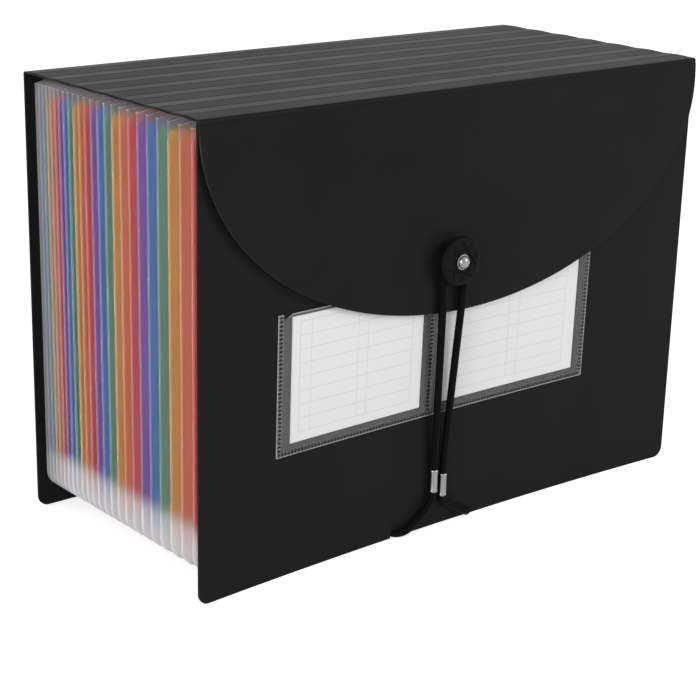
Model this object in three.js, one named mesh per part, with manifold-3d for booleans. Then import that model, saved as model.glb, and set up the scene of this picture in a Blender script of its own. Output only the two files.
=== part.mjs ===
// Expanding file organizer: a pleated film body between two stiff panels, with coloured dividers,
// a scored lid that ends in a rounded flap, a label pocket and an elastic loop on a riveted button.
// Millimetres. X runs across the front, Y from the front to the back, Z up from the table.
import * as THREE from "three";
import { mergeVertices } from "three/addons/utils/BufferGeometryUtils.js";
import Module from "manifold-3d";

const wasm = await Module();
wasm.setup();

// Cover: front panel, back panel, scored lid and flap are one grade of polypropylene sheet
const COVER_WIDTH = 330;
const COVER_HEIGHT = 232;
const BODY_DEPTH = 150; // outer face of the front panel to outer face of the back panel
const SHEET = 1.2;
const PANEL_CORNER_RADIUS = 6;
const SEAT_GAP = 0.3; // between pieces that touch or are welded to each other

// The front panel bows in towards the pockets, most at the middle of its lower edge
const BOW = 5.5;

// Lid: narrow bands between score lines, every second line raised
const LID_BANDS = 14;
const LID_RIDGE = 0.8;

// Flap: half an ellipse under two short straight ears, standing a little off the front panel
const FLAP_DROP = 114;
const FLAP_EAR = 7;
const FLAP_STANDOFF = 3;
const FLAP_SPRING = 60; // the drop over which the flap moves out to its standoff

// Pleated body
const POCKETS = 24;
const FILM = 0.4;
const BODY_INSET = 5; // from the panels' side edges to the pleats
const BODY_TOP_INSET = 3; // from the panels' top edges down to the pleats
const SKIRT = 12; // how far the panels stand below the pleats
const BODY_CORNER_RADIUS = 28;
const PLEAT_DEPTH = 12;
const PLEAT_LAND = 1.7; // flat width of each outer fold, where a divider is welded
const VALLEY_LAND = 0.9;
const PLEAT_TOP_SLANT = 5; // the outer folds are cut lower than the inner ones
const WELD_STRIP_SHARE = 0.6; // how much of the pleat depth is welded to each panel
const PANEL_WELD_GAP = 0.5;
const FRONT_POCKET_RATIO = 3; // the front pocket is open this many times wider than the back one
const POCKET_SPREAD_POWER = 1.5;

// Dividers
const DIVIDER = 0.5;
const DIVIDER_CORNER_RADIUS = 34;
const DIVIDER_TOP_GAP = 1; // below the slanted ends of the outer folds
const TAB_WIDTH = 34;
const TAB_HEIGHT = 5.5;
const TAB_SLOPE = 3;
const TAB_PITCH = 46;
const TAB_PLACES = 6;
const RAINBOW = ["#e8503e", "#ef8a2c", "#f2b71f", "#4f9e62", "#3f78c4", "#7e55a8"];

// Label pocket on the front panel: one clear film with a weld down its middle
const POCKET_LEFT = -119;
const POCKET_RIGHT = 93;
const POCKET_SPLIT = -20;
const POCKET_BELOW_BUTTON = 12; // from the button's middle down to the pocket's top
const POCKET_HEIGHT = 72;
const POCKET_WELD = 5;
const CARD = 0.4;
const CARD_INSET = 3.5; // from a weld to the card's edge
const CARD_HEIGHT = 64;

// Button, rivet and elastic
const FASTENER_X = -12.5;
const BUTTON_ABOVE_EDGE = 28.5; // from the flap's lowest point to the button's middle
const BUTTON_RADIUS = 12.5;
const BUTTON_THICKNESS = 3;
const BUTTON_RIM = 0.8;
const BOSS_RADIUS = 4.5;
const ELASTIC_DIAMETER = 4;
const ELASTIC_CLEARANCE = 0.95; // room beside the elastic between the button and the flap
const GROOVES = 5;
const GROOVE_OFFSET = 5.6;
const GROOVE_WIDTH = 0.9;
const GROOVE_DEPTH = 0.5;
const RIVET_SHANK_RADIUS = 1.5;
const RIVET_HEAD_RADIUS = 4;
const RIVET_HEAD_HEIGHT = 2.6;
const RIVET_FLANGE = 0.6;
const WASHER_RADIUS = 5;
const WASHER_THICKNESS = 0.6;
const RIVET_TAIL_RADIUS = 2.6;
const RIVET_TAIL = 0.6;
const CRIMP_RADIUS = 2.4;
const CRIMP_LENGTH = 12.5;
const CRIMP_DISH = 0.3;
const LEFT_CRIMP_TOP = 33.6;
const RIGHT_CRIMP_TOP = 30.1;
const CRIMP_GAP = 0.5; // from a crimp's lower rim down to the base strand
const NOTCH_SPREAD = 25.7; // from the fastener's line to the middle of each notch
const NOTCH_WIDTH = 10;
const NOTCH_DEPTH = 4.7;
const NOTCH_SLOPE = 0.6;

// Places worked out from the sizes above
const HALF_WIDTH = COVER_WIDTH / 2;
const FRONT_FACE = -BODY_DEPTH / 2;
const BACK_FACE = BODY_DEPTH / 2;
const LID_UNDERSIDE = COVER_HEIGHT + SEAT_GAP;
const FLAP_TOP = LID_UNDERSIDE + SHEET;
const BUTTON_Z = FLAP_TOP - FLAP_DROP + BUTTON_ABOVE_EDGE;
const POCKET_BOTTOM = BUTTON_Z - POCKET_BELOW_BUTTON - POCKET_HEIGHT;
const BODY_HALF_WIDTH = HALF_WIDTH - BODY_INSET;
const BODY_TOP = COVER_HEIGHT - BODY_TOP_INSET;
const DIVIDER_TOP = BODY_TOP - PLEAT_TOP_SLANT - DIVIDER_TOP_GAP;
const BUTTON_GAP = ELASTIC_DIAMETER + ELASTIC_CLEARANCE;

const coverMaterial = new THREE.MeshStandardMaterial({ color: "#262626", roughness: 0.45 });
const filmMaterial = new THREE.MeshStandardMaterial({
  color: "#d9d9dc", roughness: 0.5, transparent: true, opacity: 0.5,
});
const clearMaterial = new THREE.MeshStandardMaterial({
  color: "#8f9093", roughness: 0.15, transparent: true, opacity: 0.35,
});
const cardMaterial = new THREE.MeshStandardMaterial({ color: "#eeeeee", roughness: 0.8 });
const buttonMaterial = new THREE.MeshStandardMaterial({ color: "#1d1d1d", roughness: 0.5 });
const chromeMaterial = new THREE.MeshStandardMaterial({
  color: "#c9cacc", roughness: 0.2, metalness: 1,
});
const elasticMaterial = new THREE.MeshStandardMaterial({ color: "#141414", roughness: 0.9 });

// How far the front panel is bowed inward at a point of its face.
function bowAt(x, z) {
  return BOW * (1 - (x / HALF_WIDTH) ** 2) * (1 - z / COVER_HEIGHT);
}

// How far the flap stands off the panel at a distance below its crease.
function standoffAt(drop) {
  const share = Math.min(1, drop / FLAP_SPRING);
  return SEAT_GAP + (FLAP_STANDOFF - SEAT_GAP) * Math.sin((share * Math.PI) / 2);
}

// Evenly spaced values from one number to another, both included.
function spaced(from, to, steps) {
  return Array.from({ length: steps + 1 }, (_, i) => from + ((to - from) * i) / steps);
}

// How far the edge of a rounded lower corner has risen at a distance from the sheet's side.
function cornerRise(inset, radius) {
  return inset >= radius ? 0 : radius - Math.sqrt(radius ** 2 - (radius - inset) ** 2);
}

// Columns that follow a rounded corner at each end and the given places between.
function columnsWithCorners(half, radius, between) {
  const corner = spaced(0, Math.PI / 2, 4).map((turn) => half - radius * (1 - Math.sin(turn)));
  return [...new Set([...corner.map((x) => -x), ...between, ...corner])].sort((a, b) => a - b);
}

// A closed sheet on a grid of columns and rows. rowsAt gives a column's heights from low to high;
// front and back give the Y of each face.
function gridSheet(columns, rowsAt, front, back) {
  const rows = columns.map((x) => rowsAt(x));
  const count = rows[0].length;
  const positions = [];
  for (const face of [front, back])
    columns.forEach((x, i) => rows[i].forEach((z) => positions.push(x, face(x, z), z)));
  const layer = columns.length * count;
  const at = (side, i, j) => side * layer + i * count + j;
  const index = [];
  const quad = (a, b, c, d) => index.push(a, b, c, a, c, d);
  for (let i = 0; i + 1 < columns.length; i++) {
    for (let j = 0; j + 1 < count; j++) {
      quad(at(0, i, j), at(0, i + 1, j), at(0, i + 1, j + 1), at(0, i, j + 1));
      quad(at(1, i, j), at(1, i, j + 1), at(1, i + 1, j + 1), at(1, i + 1, j));
    }
    quad(at(0, i, 0), at(1, i, 0), at(1, i + 1, 0), at(0, i + 1, 0));
    const top = count - 1;
    quad(at(0, i, top), at(0, i + 1, top), at(1, i + 1, top), at(1, i, top));
  }
  const last = columns.length - 1;
  for (let j = 0; j + 1 < count; j++) {
    quad(at(0, 0, j), at(0, 0, j + 1), at(1, 0, j + 1), at(1, 0, j));
    quad(at(0, last, j), at(1, last, j), at(1, last, j + 1), at(0, last, j + 1));
  }
  const geometry = new THREE.BufferGeometry();
  geometry.setAttribute("position", new THREE.Float32BufferAttribute(positions, 3));
  geometry.setIndex(index);
  return geometry;
}

// A shape drawn in the plane of Y and Z, extruded across the organizer's width.
function extrudeAcross(points, width) {
  const shape = new THREE.Shape(points.map(([y, z]) => new THREE.Vector2(y, z)));
  const geometry = new THREE.ExtrudeGeometry(shape, { depth: width, bevelEnabled: false });
  const turn = new THREE.Matrix4().makeBasis(
    new THREE.Vector3(0, 1, 0), new THREE.Vector3(0, 0, 1), new THREE.Vector3(1, 0, 0),
  );
  return geometry.applyMatrix4(turn).translate(-width / 2, 0, 0);
}

// A revolved piece whose axis points out of the front; profile pairs are radius and distance out.
function turnedOnFront(profile, segments) {
  const points = profile.map(([radius, out]) => new THREE.Vector2(radius, -out));
  return new THREE.LatheGeometry(points, segments);
}

// Six times the signed volume: negative when a geometry's faces point inwards.
function signedVolume(geometry) {
  const [a, b, c] = [0, 1, 2].map(() => new THREE.Vector3());
  const corners = geometry.index ? geometry.index.array : null;
  const points = geometry.attributes.position;
  let sum = 0;
  for (let i = 0; i < (corners ? corners.length : points.count); i += 3) {
    [a, b, c].forEach((v, k) => v.fromBufferAttribute(points, corners ? corners[i + k] : i + k));
    sum += a.dot(b.cross(c));
  }
  return sum;
}

// The same surface as merged points and triangles that face outwards.
function closed(geometry) {
  const bare = geometry.clone();
  bare.deleteAttribute("normal");
  bare.deleteAttribute("uv");
  const merged = mergeVertices(bare, 1e-4);
  const index = merged.index.array;
  if (signedVolume(merged) < 0)
    for (let i = 0; i < index.length; i += 3) [index[i], index[i + 1]] = [index[i + 1], index[i]];
  return merged;
}

function toSolid(geometry) {
  const merged = closed(geometry);
  return new wasm.Manifold(new wasm.Mesh({
    numProp: 3,
    vertProperties: new Float32Array(merged.attributes.position.array),
    triVerts: new Uint32Array(merged.index.array),
  }));
}

function toGeometry(solid) {
  const mesh = solid.getMesh();
  const geometry = new THREE.BufferGeometry();
  geometry.setAttribute("position", new THREE.BufferAttribute(mesh.vertProperties, 3));
  geometry.setIndex(new THREE.BufferAttribute(mesh.triVerts, 1));
  return geometry;
}

function named(name, geometry, material) {
  const mesh = new THREE.Mesh(closed(geometry), material);
  mesh.name = name;
  return mesh;
}

// Front panel: bowed sheet with rounded lower corners and a notch for each strand of the elastic
function frontPanel() {
  const notchAt = (x) => {
    const offset = Math.abs(Math.abs(x - FASTENER_X) - NOTCH_SPREAD);
    return NOTCH_DEPTH * THREE.MathUtils.clamp((NOTCH_WIDTH / 2 - offset) / NOTCH_SLOPE, 0, 1);
  };
  const notchEdges = [-1, 1].flatMap((side) => [-1, 1].flatMap((edge) => [0, NOTCH_SLOPE].map(
    (step) => FASTENER_X + side * NOTCH_SPREAD + edge * (NOTCH_WIDTH / 2 - step),
  )));
  const plain = spaced(-HALF_WIDTH, HALF_WIDTH, 22).slice(1, -1);
  const apart = plain.filter((x) => notchEdges.every((edge) => Math.abs(edge - x) > 2));
  const columns = columnsWithCorners(HALF_WIDTH, PANEL_CORNER_RADIUS, [...apart, ...notchEdges]);
  const lowest = (x) => Math.max(
    notchAt(x), cornerRise(HALF_WIDTH - Math.abs(x), PANEL_CORNER_RADIUS),
  );
  return gridSheet(
    columns,
    (x) => [lowest(x), COVER_HEIGHT],
    (x, z) => FRONT_FACE + bowAt(x, z),
    (x, z) => FRONT_FACE + SHEET + bowAt(x, z),
  );
}

function backPanel() {
  const columns = columnsWithCorners(HALF_WIDTH, PANEL_CORNER_RADIUS, [0]);
  return gridSheet(
    columns,
    (x) => [cornerRise(HALF_WIDTH - Math.abs(x), PANEL_CORNER_RADIUS), COVER_HEIGHT],
    () => BACK_FACE - SHEET,
    () => BACK_FACE,
  );
}

// Lid: a folded strip that opens like a fan, flat at its two ends where the creases are
const FLAP_FACE = FRONT_FACE - SEAT_GAP - SHEET; // outer face of the flap at its crease
const LID_FRONT = FLAP_FACE + SHEET + SEAT_GAP;
function scoredLid() {
  const lines = spaced(LID_FRONT, BACK_FACE, LID_BANDS);
  const rise = (i) => (i % 2 === 1 && i < LID_BANDS ? LID_RIDGE : 0);
  const under = lines.map((y, i) => [y, LID_UNDERSIDE + rise(i)]);
  const over = lines.map((y, i) => [y, LID_UNDERSIDE + SHEET + rise(i)]);
  return extrudeAcross([...under, ...over.reverse()], COVER_WIDTH);
}

// Flap: hangs from the lid's front crease, with a hole for the rivet
function flapInside(x, z) {
  return FRONT_FACE + bowAt(x, Math.min(z, COVER_HEIGHT)) - standoffAt(FLAP_TOP - z);
}
const BUTTON_FACE = flapInside(FASTENER_X, BUTTON_Z) - SHEET; // outer face of the flap at the button

function frontFlap() {
  const dropAt = (x) => FLAP_EAR
    + (FLAP_DROP - FLAP_EAR) * Math.sqrt(Math.max(0, 1 - (x / HALF_WIDTH) ** 2));
  const columns = spaced(-Math.PI / 2, Math.PI / 2, 24).map((a) => HALF_WIDTH * Math.sin(a));
  const sheet = gridSheet(
    columns,
    (x) => spaced(FLAP_TOP - dropAt(x), FLAP_TOP, 6),
    (x, z) => flapInside(x, z) - SHEET,
    flapInside,
  );
  const holeRadius = RIVET_SHANK_RADIUS + SEAT_GAP;
  const hole = new THREE.CylinderGeometry(holeRadius, holeRadius, 6 * SHEET, 16)
    .translate(FASTENER_X, BUTTON_FACE, BUTTON_Z);
  return toGeometry(toSolid(sheet).subtract(toSolid(hole)));
}

// Fold lines of the pleated body, from the front panel's inner face to the back panel's
const PLEATS_START = FRONT_FACE + SHEET + PANEL_WELD_GAP;
const PLEATS_END = BACK_FACE - SHEET - PANEL_WELD_GAP;
function foldLines() {
  const first = PLEATS_START + FILM / 2;
  const last = PLEATS_END - FILM / 2;
  const weights = spaced(0, 1, POCKETS - 1).map(
    (share) => 1 + (FRONT_POCKET_RATIO - 1) * (1 - share) ** POCKET_SPREAD_POWER,
  );
  const total = weights.reduce((sum, weight) => sum + weight, 0);
  const lines = [first];
  for (const weight of weights) lines.push(lines.at(-1) + ((last - first) * weight) / total);
  return lines;
}
const FOLDS = foldLines();

// The film's centre line: outer folds at depth 0 where the dividers are, inner folds between them,
// and a strip at each end that lies against a panel.
function pleatLine() {
  const strip = PLEAT_DEPTH * WELD_STRIP_SHARE;
  const line = [[strip, FOLDS[0]], [0, FOLDS[0]], [0, FOLDS[0] + PLEAT_LAND / 2]];
  FOLDS.slice(1).forEach((fold, k) => {
    const valley = (fold + FOLDS[k]) / 2;
    line.push([PLEAT_DEPTH, valley - VALLEY_LAND / 2], [PLEAT_DEPTH, valley + VALLEY_LAND / 2]);
    line.push([0, fold - PLEAT_LAND / 2]);
    if (k < POCKETS - 1) line.push([0, fold + PLEAT_LAND / 2]);
  });
  line.push([0, FOLDS.at(-1)], [strip, FOLDS.at(-1)]);
  return line.map(([depth, y]) => new THREE.Vector2(depth, y));
}

// One side of a line thickened by a distance, with mitred corners.
function offsetLine(line, distance) {
  const normal = (i) => {
    const along = line[i + 1].clone().sub(line[i]).normalize();
    return new THREE.Vector2(-along.y, along.x);
  };
  return line.map((point, i) => {
    const before = normal(Math.max(0, i - 1));
    const after = normal(Math.min(line.length - 2, i));
    const mitre = before.clone().add(after).divideScalar(1 + before.dot(after));
    return point.clone().addScaledVector(mitre, distance);
  });
}

// The body's U path seen from the front: down the left side, across the bottom, up the right.
function bodyPath() {
  const half = BODY_HALF_WIDTH - FILM / 2;
  const floor = SKIRT + FILM / 2;
  const inner = half - BODY_CORNER_RADIUS;
  const stations = [{ x: -half, z: BODY_TOP, turn: 0 }];
  const corner = spaced(0, Math.PI / 2, 3);
  for (const turn of corner) stations.push({
    x: -inner - BODY_CORNER_RADIUS * Math.cos(turn),
    z: floor + BODY_CORNER_RADIUS * (1 - Math.sin(turn)),
    turn,
  });
  for (const x of spaced(-inner, inner, 5).slice(1, -1))
    stations.push({ x, z: floor, turn: Math.PI / 2 });
  for (const turn of corner) stations.push({
    x: inner + BODY_CORNER_RADIUS * Math.sin(turn),
    z: floor + BODY_CORNER_RADIUS * (1 - Math.cos(turn)),
    turn: Math.PI / 2 + turn,
  });
  stations.push({ x: half, z: BODY_TOP, turn: Math.PI });
  return stations;
}

// Pleated body: the pleat profile swept along the U, its front strip bent with the front panel
function pleatedBody() {
  const line = pleatLine();
  const profile = [...offsetLine(line, FILM / 2), ...offsetLine(line, -FILM / 2).reverse()];
  const stations = bodyPath();
  const bendEnd = FOLDS[1] - PLEAT_LAND / 2;
  const bendShare = (y) => THREE.MathUtils.clamp(
    (bendEnd - y) / (bendEnd - PLEATS_START), 0, 1,
  );
  const positions = [];
  stations.forEach(({ x, z, turn }, i) => {
    const atTop = i === 0 || i === stations.length - 1;
    for (const { x: depth, y } of profile) {
      const px = x + depth * Math.cos(turn);
      const slant = PLEAT_TOP_SLANT * (1 - THREE.MathUtils.clamp(depth / PLEAT_DEPTH, 0, 1));
      const pz = atTop ? z - slant : z + depth * Math.sin(turn);
      positions.push(px, y + bowAt(px, pz) * bendShare(y), pz);
    }
  });
  const count = profile.length;
  const index = [];
  for (let i = 0; i + 1 < stations.length; i++)
    for (let p = 0; p < count; p++) {
      const a = i * count + p;
      const b = i * count + ((p + 1) % count);
      index.push(a, b, b + count, a, b + count, a + count);
    }
  const facing = Math.sign(THREE.ShapeUtils.area(profile));
  const lastRing = (stations.length - 1) * count;
  for (const [a, b, c] of THREE.ShapeUtils.triangulateShape(profile, [])) {
    const same = Math.sign(THREE.ShapeUtils.area([profile[a], profile[b], profile[c]])) === facing;
    const [p, q, r] = same ? [a, b, c] : [a, c, b];
    index.push(r, q, p, lastRing + p, lastRing + q, lastRing + r);
  }
  const geometry = new THREE.BufferGeometry();
  geometry.setAttribute("position", new THREE.Float32BufferAttribute(positions, 3));
  geometry.setIndex(index);
  return geometry;
}

// Divider: flat sheet held in the outer folds, with a tab in one of six places along its top
function divider(number) {
  const half = BODY_HALF_WIDTH - FILM - SEAT_GAP;
  const floor = SKIRT + FILM + SEAT_GAP;
  const place = number % TAB_PLACES;
  const tab = TAB_PITCH * (place - (TAB_PLACES - 1) / 2);
  const tabRise = (x) => TAB_HEIGHT
    * THREE.MathUtils.clamp((TAB_WIDTH / 2 - Math.abs(x - tab)) / TAB_SLOPE, 0, 1);
  const edges = [TAB_WIDTH / 2, TAB_WIDTH / 2 - TAB_SLOPE].flatMap((w) => [tab - w, tab + w]);
  const columns = columnsWithCorners(half, DIVIDER_CORNER_RADIUS, edges);
  const y = FOLDS[number + 1];
  return gridSheet(
    columns,
    (x) => [floor + cornerRise(half - Math.abs(x), DIVIDER_CORNER_RADIUS),
      DIVIDER_TOP + tabRise(x)],
    () => y - DIVIDER / 2,
    () => y + DIVIDER / 2,
  );
}

// Label pocket: the film dips to the panel at its welds and clears the cards between them
const CARD_LIFT = CARD + SEAT_GAP;
function labelPocket() {
  const top = POCKET_BOTTOM + POCKET_HEIGHT;
  const half = POCKET_WELD / 2;
  const welds = [
    [POCKET_LEFT, POCKET_LEFT + POCKET_WELD],
    [POCKET_SPLIT - half, POCKET_SPLIT + half],
    [POCKET_RIGHT - POCKET_WELD, POCKET_RIGHT],
  ];
  const liftAt = (x, z) => {
    const beside = welds.map(([low, high]) => Math.max(low - x, x - high));
    const clear = Math.min(...beside, z - POCKET_BOTTOM - POCKET_WELD);
    return CARD_LIFT * THREE.MathUtils.clamp(clear / CARD_LIFT, 0, 1);
  };
  const columns = [
    POCKET_LEFT, welds[0][1], welds[0][1] + CARD_LIFT,
    ...spaced(welds[0][1], welds[1][0], 6).slice(1, -1),
    welds[1][0] - CARD_LIFT, welds[1][0], welds[1][1], welds[1][1] + CARD_LIFT,
    ...spaced(welds[1][1], welds[2][0], 6).slice(1, -1),
    welds[2][0] - CARD_LIFT, welds[2][0], POCKET_RIGHT,
  ];
  const weldTop = POCKET_BOTTOM + POCKET_WELD;
  const back = (x, z) => FRONT_FACE + bowAt(x, z) - SEAT_GAP - liftAt(x, z);
  return gridSheet(
    columns,
    () => [POCKET_BOTTOM, weldTop, weldTop + CARD_LIFT, top],
    (x, z) => back(x, z) - FILM,
    back,
  );
}

function labelCard(left, right) {
  const floor = POCKET_BOTTOM + POCKET_WELD + CARD_LIFT + SEAT_GAP;
  const back = (x, z) => FRONT_FACE + bowAt(x, z) - SEAT_GAP;
  return gridSheet(
    spaced(left + CARD_INSET, right - CARD_INSET, 8),
    () => [floor, floor + CARD_HEIGHT],
    (x, z) => back(x, z) - CARD,
    back,
  );
}

// Distances out from the flap's face at the button
const BOSS_BASE = SEAT_GAP;
const BUTTON_FRONT = BUTTON_GAP + BUTTON_THICKNESS;
const WASHER_FRONT = -SHEET - SEAT_GAP;
const WASHER_BACK = WASHER_FRONT - WASHER_THICKNESS;

// Button: domed disc on a boss that keeps it off the flap, with a five-pointed star of grooves
function closureButton() {
  const bore = RIVET_SHANK_RADIUS + SEAT_GAP;
  const disc = turnedOnFront([
    [bore, BOSS_BASE], [BOSS_RADIUS, BOSS_BASE], [BOSS_RADIUS, BUTTON_GAP],
    [BUTTON_RADIUS - BUTTON_RIM, BUTTON_GAP], [BUTTON_RADIUS, BUTTON_GAP + BUTTON_RIM],
    [BUTTON_RADIUS, BUTTON_FRONT - 2 * BUTTON_RIM],
    [BUTTON_RADIUS - BUTTON_RIM, BUTTON_FRONT - BUTTON_RIM],
    [BUTTON_RADIUS - 3 * BUTTON_RIM, BUTTON_FRONT], [bore, BUTTON_FRONT], [bore, BOSS_BASE],
  ], 32);
  const reach = BUTTON_RADIUS - 3 * BUTTON_RIM;
  const length = 2 * Math.sqrt(reach ** 2 - GROOVE_OFFSET ** 2);
  let solid = toSolid(disc);
  for (let i = 0; i < GROOVES; i++) {
    const groove = new THREE.BoxGeometry(GROOVE_WIDTH, 2 * GROOVE_DEPTH, length)
      .translate(-GROOVE_OFFSET, -BUTTON_FRONT, 0)
      .rotateY((2 * Math.PI * i) / GROOVES);
    solid = solid.subtract(toSolid(groove));
  }
  return toGeometry(solid);
}

// Rivet: coned head on a thin flange, a shank through button and flap, and a flattened tail
function buttonRivet() {
  const seat = BUTTON_FRONT + SEAT_GAP;
  const head = seat + RIVET_FLANGE;
  const tail = WASHER_BACK - SEAT_GAP;
  const crown = new THREE.QuadraticBezierCurve(
    new THREE.Vector2(RIVET_HEAD_RADIUS - RIVET_FLANGE, head),
    new THREE.Vector2(RIVET_HEAD_RADIUS - RIVET_FLANGE, head + RIVET_HEAD_HEIGHT),
    new THREE.Vector2(0, head + RIVET_HEAD_HEIGHT),
  ).getPoints(5).map(({ x, y }) => [x, y]);
  return turnedOnFront([
    [0, tail - RIVET_TAIL], [RIVET_TAIL_RADIUS, tail - RIVET_TAIL], [RIVET_TAIL_RADIUS, tail],
    [RIVET_SHANK_RADIUS, tail], [RIVET_SHANK_RADIUS, seat], [RIVET_HEAD_RADIUS, seat],
    [RIVET_HEAD_RADIUS, head], ...crown,
  ], 24);
}

function rivetWasher() {
  const bore = RIVET_SHANK_RADIUS + SEAT_GAP;
  return turnedOnFront([
    [bore, WASHER_BACK], [WASHER_RADIUS, WASHER_BACK], [WASHER_RADIUS, WASHER_FRONT],
    [bore, WASHER_FRONT], [bore, WASHER_BACK],
  ], 24);
}

// Elastic: the loop over the button, and the base strand that passes under the front panel's edge.
// Each point is its distance across from the fastener, its depth behind the front face, and its Z.
const strandUp = (share) => LEFT_CRIMP_TOP + (BUTTON_Z - LEFT_CRIMP_TOP) * share;
const LOOP_ROUTE = [
  [-2.3, 2.0, LEFT_CRIMP_TOP + SEAT_GAP], [-2.7, 1.4, strandUp(0.074)], [-3.7, -0.2, strandUp(0.266)],
  [-4.9, -2.0, strandUp(0.493)], [-6.3, -3.9, strandUp(0.729)], [-7.0, -4.6, BUTTON_Z - 14],
  [-7.2, -4.7, BUTTON_Z - 2], [-5.7, -4.7, BUTTON_Z + 4.7], [0, -4.7, BUTTON_Z + 7.5],
  [5.7, -4.7, BUTTON_Z + 4.7], [7.2, -4.7, BUTTON_Z - 2], [7.0, -4.6, BUTTON_Z - 14],
  [6.1, -3.9, strandUp(0.729)], [5.3, -2.0, strandUp(0.493)], [4.6, -0.2, strandUp(0.266)],
  [4.2, 1.4, strandUp(0.074)], [4.1, 2.0, RIGHT_CRIMP_TOP + SEAT_GAP],
];
const LEFT_BASE_TOP = LEFT_CRIMP_TOP - CRIMP_LENGTH - CRIMP_GAP;
const RIGHT_BASE_TOP = RIGHT_CRIMP_TOP - CRIMP_LENGTH - CRIMP_GAP;
const BASE_ROUTE = [
  [-2.3, 2.0, LEFT_BASE_TOP], [-2.4, 2.0, LEFT_BASE_TOP - 1.2], [-4.9, 2.3, 14],
  [-9.5, 2.7, 9], [-15, 2.8, 5.3], [-19.8, 2.7, 3.1], [-23.8, 3.6, 2.4], [-26.1, 5.6, 2.3],
  [-26.1, 7.7, 2.6], [-23, 8.9, 4.3], [-14.5, 9.1, 6.2], [0, 9.1, 6.8], [14.5, 9.1, 6.2],
  [23, 8.9, 4.3], [26.1, 7.7, 2.6], [26.1, 5.6, 2.3], [24.1, 3.6, 2.6], [20.1, 2.6, 4.6],
  [14.3, 2.4, 8.4], [8.1, 2.2, 12.2], [4.2, 2.0, RIGHT_BASE_TOP - 1.2], [4.1, 2.0, RIGHT_BASE_TOP],
];
const strandPoint = ([across, depth, z]) => [FASTENER_X + across, FRONT_FACE + depth, z];
function elastic(route, steps) {
  const path = new THREE.CatmullRomCurve3(
    route.map((point) => new THREE.Vector3(...strandPoint(point))),
  );
  const section = new THREE.Shape().absarc(0, 0, ELASTIC_DIAMETER / 2, 0, 2 * Math.PI);
  return new THREE.ExtrudeGeometry(section, {
    steps, extrudePath: path, curveSegments: 4, bevelEnabled: false,
  });
}

// Crimp: a metal ferrule that joins an end of the loop to an end of the base strand
function crimp([across, depth, top]) {
  const half = CRIMP_LENGTH / 2;
  const edge = CRIMP_RADIUS - CRIMP_DISH;
  return turnedOnFront([
    [0, -half + CRIMP_DISH], [edge, -half], [CRIMP_RADIUS, -half + CRIMP_DISH],
    [CRIMP_RADIUS, half - CRIMP_DISH], [edge, half], [0, half - CRIMP_DISH],
  ], 16).rotateX(Math.PI / 2).translate(...strandPoint([across, depth, top - SEAT_GAP - half]));
}

// Assembly
const organizer = new THREE.Group();
// Its origin lies under the middle of the whole depth, button included.
const rivetTop = BUTTON_FACE - BUTTON_FRONT - SEAT_GAP - RIVET_FLANGE - RIVET_HEAD_HEIGHT;
organizer.position.y = -(BACK_FACE + rivetTop) / 2;

const cover = new THREE.Group();
cover.add(
  named("back_panel", backPanel(), coverMaterial),
  named("front_panel", frontPanel(), coverMaterial),
  named("scored_lid", scoredLid(), coverMaterial),
  named("front_flap", frontFlap(), coverMaterial),
);

const pockets = new THREE.Group();
pockets.add(named("pleated_body", pleatedBody(), filmMaterial));
for (let i = 0; i < POCKETS - 1; i++) {
  const material = new THREE.MeshStandardMaterial({
    color: RAINBOW[i % RAINBOW.length], roughness: 0.5,
  });
  pockets.add(named("divider_" + String(i + 1).padStart(2, "0"), divider(i), material));
}

const label = new THREE.Group();
const splitEdge = POCKET_WELD / 2;
label.add(
  named("label_pocket", labelPocket(), clearMaterial),
  named("label_card_left", labelCard(POCKET_LEFT + POCKET_WELD, POCKET_SPLIT - splitEdge),
    cardMaterial),
  named("label_card_right", labelCard(POCKET_SPLIT + splitEdge, POCKET_RIGHT - POCKET_WELD),
    cardMaterial),
);

const fastener = new THREE.Group();
fastener.position.set(FASTENER_X, BUTTON_FACE, BUTTON_Z);
fastener.add(
  named("closure_button", closureButton(), buttonMaterial),
  named("button_rivet", buttonRivet(), chromeMaterial),
  named("rivet_washer", rivetWasher(), chromeMaterial),
);

const closure = new THREE.Group();
closure.add(
  named("elastic_loop", elastic(LOOP_ROUTE, 66), elasticMaterial),
  named("elastic_base", elastic(BASE_ROUTE, 44), elasticMaterial),
  named("crimp_left", crimp(LOOP_ROUTE[0]), chromeMaterial),
  named("crimp_right", crimp(LOOP_ROUTE.at(-1)), chromeMaterial),
);

organizer.add(cover, pockets, label, fastener, closure);
export default organizer;
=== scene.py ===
"""Looks of an expanding file organizer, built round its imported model.

Sizes are in millimetres in the frame of the part's source, whose Y starts at the middle of the
body's depth.
"""

import logging
import math
from dataclasses import dataclass, field
from enum import Enum
from typing import Callable, Optional, Sequence, Union

import bmesh
import bpy
import numpy as np
from mathutils import Matrix, Vector


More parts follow.
